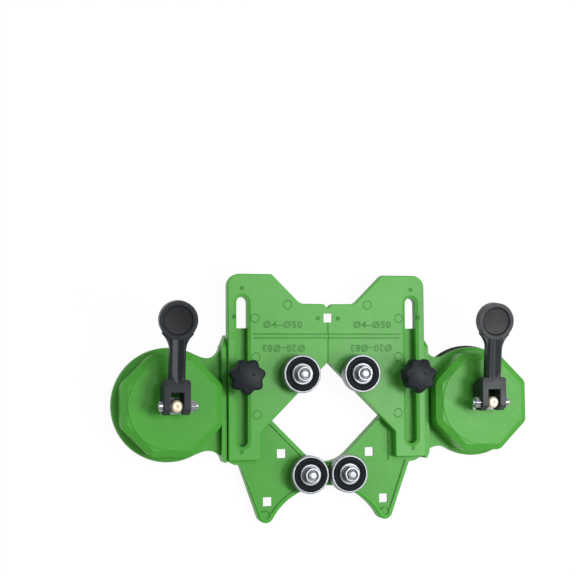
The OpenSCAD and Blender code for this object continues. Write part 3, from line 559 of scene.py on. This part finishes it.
def rounded_profile(points, steps=5):
    """A closed profile of (radius, height, rounding) corners, each rounding made a curve of a few points:
    from a = corner + reach u to b = corner + reach v it is (1 - s)^2 a + 2 s (1 - s) corner + s^2 b."""
    made = []
    count = len(points)
    for k, (x, y, r) in enumerate(points):
        here = np.array([x, y], float)
        before = np.array(points[(k - 1) % count][:2], float) - here
        after = np.array(points[(k + 1) % count][:2], float) - here
        if r <= 0 or np.linalg.norm(before) == 0 or np.linalg.norm(after) == 0:
            made.append(here)
            continue
        u, v = before / np.linalg.norm(before), after / np.linalg.norm(after)
        half = math.acos(np.clip(u @ v, -1, 1)) / 2
        reach = min(r / math.tan(half), 0.49 * np.linalg.norm(before), 0.49 * np.linalg.norm(after))
        share = np.linspace(0, 1, steps)[:, None]
        start, end = here + u * reach, here + v * reach
        made.extend((1 - share) ** 2 * start + 2 * share * (1 - share) * here + share ** 2 * end)
    return np.array(made)


def turned(profile, centre, segments):
    """Every profile point (radius, height) goes round the Z axis through centre: x = r cos a, y = r sin a,
    z = h."""
    angle = np.linspace(0, 2 * np.pi, segments, endpoint=False)[None]
    r, z = profile[:, :1], profile[:, 1:]
    return np.stack([centre[0] + r * np.cos(angle), centre[1] + r * np.sin(angle), z + 0 * angle], -1)


def hex_turned(profile, across, centre, turn, segments):
    """As turned, but no point goes outside a hexagon: r = min(profile radius, (across / 2) / cos(angle to
    the flat))."""
    angle = np.linspace(0, 2 * np.pi, segments, endpoint=False)[None]
    flat = across / 2 / np.cos(np.mod(angle - turn + np.pi / 6, np.pi / 3) - np.pi / 6)
    r, z = np.minimum(profile[:, :1], flat), profile[:, 1:]
    return np.stack([centre[0] + r * np.cos(angle), centre[1] + r * np.sin(angle), z + 0 * angle], -1)


def cut_thread(grid, centre, radius, low, high, pitch, depth):
    """Lowers points on a shank between two heights, and less within half a pitch of them: r = radius -
    depth * |2 frac(z / pitch - a / 2 pi) - 1|."""
    x, y, z = grid[..., 0] - centre[0], grid[..., 1] - centre[1], grid[..., 2]
    r, a = np.hypot(x, y), np.arctan2(y, x)
    wave = np.abs(2 * np.mod(z / pitch - a / (2 * np.pi), 1) - 1)
    fade = np.clip((high - z) / (0.5 * pitch), 0, 1) * np.clip((z - low) / (0.5 * pitch), 0, 1)
    new = np.where(np.abs(r - radius) < 1e-6, r - depth * wave * fade, r)
    scale = np.where(r > 1e-9, new / np.maximum(r, 1e-9), 1)
    grid[..., 0] = centre[0] + x * scale
    grid[..., 1] = centre[1] + y * scale
    return grid


# Bearings and their bolts

def bearing(place):
    """Outer and inner ring with rounded corners, and a seal on each face with a groove and a raised lip.
    The lower seal is the upper one turned over."""
    x, y, low = BEARINGS[place]
    high = low + BEARING_H
    centre = (x, y)
    outside = rounded_profile([
        (SEAL_OUT_R, low, 0.12), (BEARING_R, low, 0.55), (BEARING_R, high, 0.55), (SEAL_OUT_R, high, 0.16),
        (SEAL_OUT_R, high - SEAL_SEAT, 0), (RACE_OUT_R, high - SEAL_SEAT, 0),
        (RACE_OUT_R, low + SEAL_SEAT, 0), (SEAL_OUT_R, low + SEAL_SEAT, 0)])
    woven(place + "_ring_outside", turned(outside, centre, 128), place + "_outer_ring", along=True)
    inside = rounded_profile([(BEARING_BORE_R, low, 0.25), (RACE_IN_R, low, 0.2), (RACE_IN_R, high, 0.2),
                              (BEARING_BORE_R, high, 0.25)])
    woven(place + "_ring_inside", turned(inside, centre, 96), place + "_inner_ring", along=True)
    top = high - SEAL_RECESS
    seal = rounded_profile([
        (SEAL_IN_R, top - SEAL_T, 0), (SEAL_OUT_R, top - SEAL_T, 0), (SEAL_OUT_R, top, 0.1), (9.5, top, 0.1),
        (9.35, top - 0.14, 0.1), (9.1, top - 0.14, 0.1), (8.95, top, 0.1), (7.75, top, 0.1),
        (7.5, top - 0.32, 0.08), (7.25, top - 0.32, 0.08), (7.0, top, 0.1),
        (6.5, top, 0.12), (SEAL_IN_R, top - 0.25, 0.1)], 4)
    woven(place + "_seal_faces", turned(seal, centre, 128), place + "_seals", along=True)
    seal[:, 1] = low + high - seal[:, 1]
    woven(place + "_seal_back", turned(seal[::-1], centre, 128), place + "_seals", along=True)


def bolt_set(place):
    """Flanged bush, washer, nut with a smooth locking collar, and a bolt whose end is threaded where it
    shows."""
    x, y, low = BEARINGS[place]
    centre = (x, y)
    high = low + BEARING_H
    seat = low - BUSH_FLANGE_H
    bush = rounded_profile([
        (BUSH_BORE_R, seat, 0), (BUSH_FLANGE_R, seat, 0.15), (BUSH_FLANGE_R, low, 0.3), (BUSH_R, low, 0),
        (BUSH_R, high - 0.05, 0.2), (BUSH_BORE_R, high - 0.05, 0.2)])
    woven(place + "_bush_turned", turned(bush, centre, 72), place + "_bush", along=True)
    nut_low = high + WASHER_T
    washer = rounded_profile([(BUSH_BORE_R, high, 0.1), (WASHER_R, high, 0.2), (WASHER_R, nut_low, 0.25),
                              (BUSH_BORE_R, nut_low, 0.1)])
    # The washer is painted the darker zinc, as shade round the nut.
    woven(place + "_washer_turned", turned(washer, centre, 72), place + "_washer", along=True,
          paint=WASHER_SHADE_ZINC)
    nut = rounded_profile([
        (2.51, nut_low, 0), (3.9, nut_low, 0), (4.62, nut_low + 0.42, 0), (4.62, nut_low + 3.6, 0.1),
        (4.1, nut_low + 4.1, 0.5), (3.3, nut_low + 4.15, 0.2), (3.05, nut_low + 3.0, 0.1),
        (2.51, nut_low + 2.9, 0)])
    grid = hex_turned(nut, NUT_ACROSS, centre, NUT_TURN, 96)
    woven(place + "_nut_turned", grid, place + "_nut", along=True, edges=28)
    top = nut_low + 5.1
    neck = seat - BOLT_NECK_H
    head = rounded_profile([(0, neck - BOLT_HEAD_H, 0), (3, neck - BOLT_HEAD_H, 0.8),
                            (BOLT_HEAD_R, neck - 0.75, 0.5), (BOLT_HEAD_R, neck, 0.15)], 6)
    threaded = np.arange(nut_low + 2.7, top - 0.6, 0.08)
    shank = np.concatenate([
        head, [[BOLT_R, neck]], np.stack([np.full(len(threaded), BOLT_R), threaded], 1),
        [[BOLT_R, top - 0.6], [2.3, top - 0.42], [1.75, top - 0.04], [1.6, top], [0.8, top], [0, top]]])
    grid = cut_thread(turned(shank, centre, 72), centre, BOLT_R, nut_low + 2.9, top - 0.4, pitch=0.8,
                      depth=0.06)
    woven(place + "_bolt_turned", grid, place + "_bolt", edges=30)


for where in BEARINGS:
    bearing(where)
    bolt_set(where)


# Mouldings

BED_ROUNDING = 1.2
CROWN_ROUNDING = 0.28
OCTAGON_ROUNDING = 0.5
PLATE_ROUNDING = 1.3
OPENING_ROUNDING = 0.3
BED_TO_X = 60.2
HOUSING_FROM_X = 64.5
SLOT_REACH = 5.2
SLOT_Y = (-30, 62)
OPENING_TO_X = 40
OPENING_Y = (4, 32)
APEX_TO_X = 3.6
APEX_Y = (14, 26)


def between(values, low, high):
    """Which edges have both ends between two values."""
    return ((values > low) & (values < high)).all(-1)


def base_edges(ends, normals, low, high):
    """Wide rounding along the bed and arms, fine rounding at the housings' crowns and octagons, none
    elsewhere."""
    near = np.abs(ends[..., 0]).max(-1) < BED_TO_X
    outside = np.abs(ends[..., 0]).min(-1) > HOUSING_FROM_X
    widths = np.where(top_edge(ends, normals, low, high, BED_TOP) & near, BED_ROUNDING, 0)
    widths = np.where(level(ends, CROWN_TOP) & outside, CROWN_ROUNDING, widths)
    return np.where(level(ends, OCTAGON_TOP) & outside, OCTAGON_ROUNDING, widths)


def plate_edges(ends, normals, low, high):
    """Wide rounding along the plate's outer edge, fine rounding round its slots and its middle opening."""
    x, y = np.abs(ends[..., 0]), ends[..., 1]
    slot = between(x, SLOT_X - SLOT_REACH, SLOT_X + SLOT_REACH) & between(y, *SLOT_Y)
    apex = between(x, -1, APEX_TO_X) & between(y, *APEX_Y)
    opening = between(x, -1, OPENING_TO_X) & between(y, *OPENING_Y) & ~apex
    widths = np.where(slot | opening, OPENING_ROUNDING, PLATE_ROUNDING)
    return np.where(top_edge(ends, normals, low, high, PLATE_TOP), widths, 0)


dressed("base", base_edges, edges=18, rim_highlight_paint=RIM_HIGHLIGHT_FINISH)
dressed("slide_plate", plate_edges, edges=18, rim_highlight_paint=RIM_HIGHLIGHT_FINISH)


# Levers and the small parts at the posts and clamps

LEVER_LENGTH = 46.9
NECK_FROM_Y = 11.7
NECK_FROM_Z = 42.2
NECK_TILT = math.radians(8)
NECK_START = np.array([0, CUP_Y + NECK_FROM_Y, NECK_FROM_Z])
NECK_REACH = (LEVER_LENGTH - NECK_FROM_Y) / math.cos(NECK_TILT)
NECK_TURN = np.array([
    [1, 0, 0],
    [0, math.cos(NECK_TILT), math.sin(NECK_TILT)],
    [0, -math.sin(NECK_TILT), math.cos(NECK_TILT)],
])
DISH_TRIM_R = 8.14
DISH_TRIM_Z = -0.84
LONG_EDGE = 2.2
SMALL_PARTS = (("_post", 0.3, None), ("_lever_screw", 0.25, BRIGHT_ZINC), ("_lever_nut", 0.2, BRIGHT_ZINC),
               ("_wear_plate", 0.2, None), ("_clamp_bolt", 0.2, None), ("_knob_nut", 0.2, None))


def lever_edges(ends, normals, low, high):
    """Generous rounding on long edges, fine rounding on short ones, such as those that a round edge has."""
    long_edge = np.linalg.norm(ends[:, 0] - ends[:, 1], axis=-1) > LONG_EDGE
    return np.where(long_edge, 0.55, 0.3)


def paddle_trim(middle):
    """Takes the faces inside the paddle's rim off a lever, where the turned dish goes."""
    def trim(mesh):
        with edited(mesh) as work:
            points = np.array([v.co[:] for v in work.verts]) / MM - NECK_START - [middle, 0, 0]
            local = points @ NECK_TURN.T
            reach = np.hypot(local[:, 0], local[:, 1] - NECK_REACH)
            inside = (reach < DISH_TRIM_R) & (local[:, 2] > DISH_TRIM_Z)
            gone = [f for f in work.faces if all(inside[v.index] for v in f.verts)]
            bmesh.ops.delete(work, geom=gone, context="FACES")
    return trim


def paddle_dish(side, middle):
    """Round dish turned about the paddle's axis and tilted with the neck: a low bead at the rim, a wall,
    and a floor that sags a little to the middle."""
    profile = rounded_profile([
        (0, -0.62, 0), (7.8, -0.56, 0.4), (8.0, 0.05, 0.2), (8.2, 0.12, 0.1), (8.5, 0.12, 0.15),
        (8.7, -0.05, 0.1), (8.1, -1.2, 0), (0, -1.2, 0)])
    grid = turned(profile, (0, NECK_REACH), 96) @ NECK_TURN + NECK_START + [middle, 0, 0]
    woven(side + "_paddle_dish", grid, side + "_lever", paint=PADDLE_GRAIN)


for side in SIDES:
    middle = mirrored(side, CUP_X, CUP_Y)[0]
    dressed(side + "_lever", lever_edges, edges=9, least=24, trim=paddle_trim(middle))
    paddle_dish(side, middle)
    for part, width, paint in SMALL_PARTS:
        dressed(side + part, even(width), paint=paint)


# Suction cups

SEAL_RINGS = [(29.9, 0, 0.1), (29.9, 0.35, 0.1), (30.5, 0.35, 0.1), (30.5, 0, 0.1), (31.1, 0, 0.1),
              (31.1, 0.35, 0.1), (31.7, 0.35, 0.1), (31.7, 0, 0.1)]
ASKEW = 1.7
ASKEW_WAY = math.radians(125)
ASKEW_FROM_R = 28
ASKEW_OVER = 3.5
SKIRT_LOW = 3.2
BEND_FROM = 0.3
BEND_TO = 9.4


def suction_cup(side):
    """Rubber cup in three turned pieces: a lip that stays on the surface, a hub that grips the post and
    moves with it, and a dome between them that stays where it is. The right lip sits a little askew: its
    points below the skirt and beyond r = 28 move by up to ASKEW, all of it from r = 31.5."""
    centre = mirrored(side, CUP_X, CUP_Y)
    node = side + "_suction_cup"
    body, post = (frame["nodes"][side + part]["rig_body"] for part in ("_suction_cup", "_post"))
    lip = rounded_profile([(28.3, 0.55, 0.2), (29.2, 0, 0.2)] + SEAL_RINGS + [
        (32.4, 0, 0.3), (32.4, 2.04, 0.4), (31.3, 3.4, 0.4), (28.3, 3.4, 0.2)], 4)
    grid = turned(lip, centre, 128)
    if side == "right":
        r = np.hypot(grid[..., 0] - centre[0], grid[..., 1] - centre[1])
        askew = ASKEW * np.clip((r - ASKEW_FROM_R) / ASKEW_OVER, 0, 1) * (grid[..., 2] < SKIRT_LOW)
        grid[..., 0] += askew * math.cos(ASKEW_WAY)
        grid[..., 1] += askew * math.sin(ASKEW_WAY)
    woven(side + "_cup_lip", grid, node, along=True)
    dome = rounded_profile([
        (10.4, 4.85, 0.3), (24.9, 2.2, 2), (28.6, 0.5, 0.2), (28.6, 3.3, 0.2), (27.4, 3.4, 1.5), (13, 8.3, 3),
        (10.4, 8.6, 0.3)])
    woven(side + "_cup_dome", turned(dome, centre, 128), node, along=True,
          bend=(body, post, centre, BEND_FROM, BEND_TO))
    hub = rounded_profile([
        (0, 6.2, 0), (9.6, 6.2, 1), (11, 7.6, 0.6), (11, 9.65, 0.8), (10, 13.4, 0.6), (3.5, 13.4, 0.2),
        (3.5, 10.05, 0), (8.2, 10.05, 0), (8.2, 7.95, 0), (0, 7.95, 0)], 4)
    woven(side + "_cup_hub", turned(hub, centre, 96), node, body=post)


# Clamps

WASHER_BORE_R = 3.2
WASHER_FOOT_R = 3.55
WASHER_RIM_GAP = 0.12


def clamp_washer(side):
    """Turned washer with a narrow foot: its rim stands clear of the plate and passes over the ring marks."""
    low, high = PLATE_TOP, PLATE_TOP + CLAMP_WASHER_T
    profile = rounded_profile([
        (WASHER_BORE_R, low, 0), (WASHER_FOOT_R, low, 0), (3.6, low + WASHER_RIM_GAP, 0),
        (CLAMP_WASHER_R, low + WASHER_RIM_GAP, 0.15), (CLAMP_WASHER_R, high, 0.25),
        (WASHER_BORE_R, high, 0.1)], 4)
    grid = turned(profile, mirrored(side, SLOT_X, CLAMP_Y), 80)
    woven(side + "_washer_clamp", grid, side + "_clamp_washer", along=True)


def knob(side):
    """Star knob with seven lobes. Round the axis the reach is v + d ((1 + cos 7a) / 2) ^ 0.85, from v in a
    valley to v + d at a tip. The top is a dome, z = h - s (r / R) ^ 2. The head's rows rise up the wall, go
    over a quarter round on to the dome and run to the axis, turning into circles on the way, with a small
    gate mark."""
    low, foot, high = PLATE_TOP + KNOB_LIFT, PLATE_TOP + 8.85, PLATE_TOP + 18.0
    valley, lobe, power, turn = 8.5, 1.9, 0.85, math.radians(12)
    edge, dome = 2.3, 1.9
    gate_x, gate_y, gate_r, gate_depth = 2.6, 1.4, 0.8, 0.35
    bore_r, bore_top = 3.2, 29.7
    pocket_r, pocket_top = 5.9, low + 5.05
    angle = np.linspace(0, 2 * np.pi, 280, endpoint=False)
    outline = valley + lobe * ((1 + np.cos(KNOB_LOBES * (angle - turn))) / 2) ** power
    full = np.full_like(angle, 1.0)

    def dome_z(r):
        return high - dome * (r / KNOB_R) ** 2

    stem = [(0, bore_top), (bore_r, bore_top), (bore_r, pocket_top), (pocket_r, pocket_top),
            (pocket_r, low + 0.1), (6.0, low), (6.8, low), (7, low + 0.2), (7, foot - 0.5), (7.4, foot)]
    rows = [np.stack([r * full, z * full], -1) for r, z in stem]
    rows += [np.stack([outline - back, (foot + up) * full], -1)
             for back, up in ((0.7, 0), (0.15, 0.15), (0, 0.7))]
    inner = outline - edge
    for t in np.linspace(0, np.pi / 2, 9):
        rows.append(np.stack([inner + edge * np.cos(t), dome_z(inner) - edge * (1 - np.sin(t))], -1))
    for share in np.linspace(0.93, 0, 14):
        r = share * (inner.mean() + (inner - inner.mean()) * share ** 2)
        rows.append(np.stack([r, dome_z(r)], -1))
    grid = np.stack(rows)
    x, y, z = grid[..., 0] * np.cos(angle), grid[..., 0] * np.sin(angle), grid[..., 1].copy()
    gate = np.hypot(x - gate_x, y - gate_y)
    z -= np.where(z > high - 1.2, gate_depth * np.exp(-(gate / gate_r) ** 2), 0)
    centre = mirrored(side, SLOT_X, CLAMP_Y)
    woven(side + "_knob_head", np.stack([centre[0] + x, centre[1] + y, z], -1), side + "_knob", edges=40)


for side in SIDES:
    suction_cup(side)
    clamp_washer(side)
    knob(side)


# Moulded marks, most of them painted a darker green as shade

MARK_FOOT = -0.02
RING_RISE = 0.09
BAR_TOP = 0.1
BAR_SLOPE = 0.1
FIGURE_DEPTH = 0.18
FIGURE_MIDDLE = 0.05
RIB_HALF_LENGTH = 44.2
RIB_BARS_AWAY = 1.15
PIN_PLACES = [(24.3, 57.6), (43.9, 49.7), (43.4, 27), (42.8, -6.2)]
DOT_PLACES = [(6.1, 49.6), (51.6, 67), (56.3, 50.5), (52, -27.2)]
PIN_RING = (2.5, 0.3)
DOT_RING = (0.8, 0.5)


def mark(name, mesh, node, paint=SHADE_MARK_FINISH):
    """Links a small moulded mark that moves with a node's body, by default in the darker green of painted
    shade.
    """
    piece = linked(name, mesh, paint)
    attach(piece, frame["nodes"][node]["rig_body"])


def size_mark(name, words, centre, size, turned_over):
    """Raised figures: the letter outlines scaled to a width and height about a centre, 0.14 proud of the
    plate."""
    curve = bpy.data.curves.new(name, "FONT")
    curve.body = words
    curve.space_character = 1.15
    curve.resolution_u = 3
    curve.extrude = 0.5
    curve.offset = 0.026
    writer = bpy.data.objects.new(name + "_writer", curve)
    bpy.context.scene.collection.objects.link(writer)
    bpy.context.view_layer.update()
    mesh = bpy.data.meshes.new_from_object(writer.evaluated_get(bpy.context.evaluated_depsgraph_get()))
    bpy.data.objects.remove(writer)
    bpy.data.curves.remove(curve)
    points = array_of(mesh.vertices, "co", 3)
    low, high = points.min(0), points.max(0)
    share = (points - (low + high) / 2) / (high - low)
    if turned_over:
        share[:, :2] *= -1
    points = np.array([*centre, PLATE_TOP + FIGURE_MIDDLE]) + share * [*size, FIGURE_DEPTH]
    mesh.vertices.foreach_set("co", (points * MM).ravel())
    mesh.update()
    mark(name, mesh, "slide_plate")


def ring_marks(name, rings, level_z, node):
    """Raised circles (x, y, radius R, half width w): each point is the centre plus its radius and height in
    a low rounded section, r = R + w u and z = level - 0.02 + 0.09 (1 - u^2), turned once round."""
    rings = np.array(rings, float)
    across = np.linspace(-1, 1, 5)
    angle = np.linspace(0, 2 * np.pi, 40, endpoint=False)
    r = (rings[:, 2, None] + rings[:, 3, None] * across)[..., None]
    z = level_z + MARK_FOOT + RING_RISE * (1 - across ** 2)
    x, y = rings[:, 0, None, None] + r * np.cos(angle), rings[:, 1, None, None] + r * np.sin(angle)
    grid = np.stack([x, y, np.broadcast_to(z[None, :, None], x.shape)], -1)
    count, rows, columns, _ = grid.shape
    faces = net(rows, columns, True)[None] + (np.arange(count) * rows * columns)[:, None, None]
    mesh = mesh_of(name, grid, faces.reshape(-1, 4))
    with edited(mesh) as work:
        bmesh.ops.recalc_face_normals(work, faces=work.faces)
    mesh.shade_smooth()
    mark(name, mesh, node)


def bar_marks(name, bars, level_z, node, paint):
    """Low bars (x from, x to, y from, y to) with sloped sides: the foot's corners, then the top's, further
    in."""
    bars = np.array(bars, float)
    into = np.array([0] * 4 + [BAR_SLOPE] * 4)
    x_from, x_to, y_from, y_to = bars.T
    x = np.stack([x_from, x_to, x_to, x_from] * 2, 1) + into * np.array([1, -1, -1, 1] * 2)
    y = np.stack([y_from, y_from, y_to, y_to] * 2, 1) + into * np.array([1, 1, -1, -1] * 2)
    z = level_z + np.broadcast_to(np.array([MARK_FOOT] * 4 + [BAR_TOP] * 4), x.shape)
    faces = np.array([[3, 2, 1, 0], [4, 5, 6, 7], [0, 1, 5, 4], [1, 2, 6, 5], [2, 3, 7, 6], [3, 0, 4, 7]])
    faces = (faces[None] + 8 * np.arange(len(bars))[:, None, None]).reshape(-1, 4)
    mark(name, mesh_of(name, np.stack([x, y, z], -1), faces), node, paint)


for side, x, inwards in (("left", -27.3, 0.6), ("right", 27.2, -0.6)):
    size_mark(side + "_small_size", "Ø4–Ø50", (x, CUP_Y + 46.0), (23.2, 4.2), False)
    size_mark(side + "_large_size", "Ø20–Ø83", (x + inwards, CUP_Y + 32.1), (25.4, 4.4), True)
ring_marks("plate_pin_marks", [(s * x, CUP_Y + y, *ring)
                               for places, ring in ((PIN_PLACES, PIN_RING), (DOT_PLACES, DOT_RING))
                               for x, y in places for s in (-1, 1)], PLATE_TOP, "slide_plate")
# Painted shade: dark strips along both edges of the index rib and down the middle stand in for the shade
# there.
bar_marks("plate_rib_painted_shade_lines", [(-RIB_HALF_LENGTH, RIB_HALF_LENGTH, RIB_Y + y - 0.25, RIB_Y + y + 0.25)
                             for y in (-RIB_BARS_AWAY, RIB_BARS_AWAY)]
          + [(-0.45, 0.45, 20.8, 34.6), (-0.45, 0.45, 37.7, 43.9)], PLATE_TOP, "slide_plate", SHADE_MARK_FINISH)
bar_marks("slot_ticks", [(s * SLOT_X - 2.6, s * SLOT_X + 1.6, CUP_Y + y - 0.22, CUP_Y + y + 0.22)
                         for s in (-1, 1) for y in (-0.6, -2.9)], BED_TOP, "base", FINISHES["base_plastic"])


# Floor, light and camera, in metres

FLOOR_SIZE = 6
FLOOR_Z = -0.00002
FLOOR_GREY = 0.82
FLOOR_GLOW = 1.02
FLOOR_WHITE_SHARE = 0.94
WORLD_LIGHT = 0.28
WORLD_GLOSS = 0.3
LAMPS = (
    ("key", (0.46, 0.0, 1.05), 0.3, 5.6),
    ("softbox", (0.15, 0.24, 1.1), 0.2, 2.3),
    ("side", (0.86, -0.28, 0.95), 0.36, 3.4),
    ("left_fill", (-0.75, 0.05, 0.55), 0.2, 0.8),
)


def seen_directly(nodes, links, gloss):
    """A value that is 1 for rays that look at the background, straight or through glass, as much as gloss
    for rays that metal mirrors, and 0 for light."""
    rays = nodes.new("ShaderNodeLightPath")
    mirrored_share = arithmetic(nodes, links, "MULTIPLY", rays.outputs["Is Glossy Ray"], gloss)
    seen = arithmetic(nodes, links, "MAXIMUM", rays.outputs["Is Camera Ray"], mirrored_share)
    return arithmetic(nodes, links, "MAXIMUM", seen, rays.outputs["Is Transmission Ray"])


def pale_floor():
    """A white floor that keeps the object's shadow and is clear from below."""
    bpy.ops.mesh.primitive_plane_add(size=FLOOR_SIZE, location=(0, 0, FLOOR_Z))
    floor = bpy.context.object
    floor.name = "floor"
    paint = bpy.data.materials.new("pale_floor")
    paint.use_nodes = True
    nodes, links = paint.node_tree.nodes, paint.node_tree.links
    nodes.clear()
    matte = nodes.new("ShaderNodeBsdfDiffuse")
    matte.inputs["Color"].default_value = (FLOOR_GREY, FLOOR_GREY, FLOOR_GREY, 1)
    glow = nodes.new("ShaderNodeEmission")
    glow.inputs["Color"].default_value = (1, 1, 1, 1)
    glow.inputs["Strength"].default_value = FLOOR_GLOW
    white_share = arithmetic(nodes, links, "MULTIPLY", seen_directly(nodes, links, 1.0), FLOOR_WHITE_SHARE)
    both = nodes.new("ShaderNodeMixShader")
    links.new(white_share, both.inputs["Fac"])
    links.new(matte.outputs[0], both.inputs[1])
    links.new(glow.outputs[0], both.inputs[2])
    clear = nodes.new("ShaderNodeBsdfTransparent")
    below = nodes.new("ShaderNodeNewGeometry")
    whole = nodes.new("ShaderNodeMixShader")
    links.new(below.outputs["Backfacing"], whole.inputs["Fac"])
    links.new(both.outputs[0], whole.inputs[1])
    links.new(clear.outputs[0], whole.inputs[2])
    out = nodes.new("ShaderNodeOutputMaterial")
    links.new(whole.outputs[0], out.inputs["Surface"])
    floor.data.materials.append(paint)


def surround():
    """A world that is white to look at and gives a low even light."""
    world = bpy.data.worlds.new("studio")
    bpy.context.scene.world = world
    world.use_nodes = True
    nodes, links = world.node_tree.nodes, world.node_tree.links
    sky = nodes["Background"]
    sky.inputs["Color"].default_value = (1, 1, 1, 1)
    strength = nodes.new("ShaderNodeMapRange")
    strength.inputs["To Min"].default_value = WORLD_LIGHT
    strength.inputs["To Max"].default_value = 1.0
    links.new(seen_directly(nodes, links, WORLD_GLOSS), strength.inputs["Value"])
    links.new(strength.outputs["Result"], sky.inputs["Strength"])


def lamp(name, place, size, power):
    """A square lamp that faces the origin."""
    data = bpy.data.lights.new(name, "AREA")
    data.shape = "SQUARE"
    data.size = size
    data.energy = power
    made = bpy.data.objects.new(name, data)
    bpy.context.scene.collection.objects.link(made)
    made.location = place
    made.rotation_euler = Vector(place).to_track_quat("Z", "Y").to_euler()


def camera():
    """The camera of the photograph, from a fit of its mirrored features."""
    data = bpy.data.cameras.new("photo_camera")
    data.sensor_width = 36
    data.lens = 76.7
    made = bpy.data.objects.new("photo_camera", data)
    bpy.context.scene.collection.objects.link(made)
    made.location = (-0.198, 0.01635, 0.7098)
    made.rotation_euler = (math.radians(3.92), math.radians(-14.05), math.radians(-0.39))
    bpy.context.scene.camera = made


pale_floor()
surround()
for row in LAMPS:
    lamp(*row)
camera()
bpy.context.scene.view_settings.view_transform = "Standard"
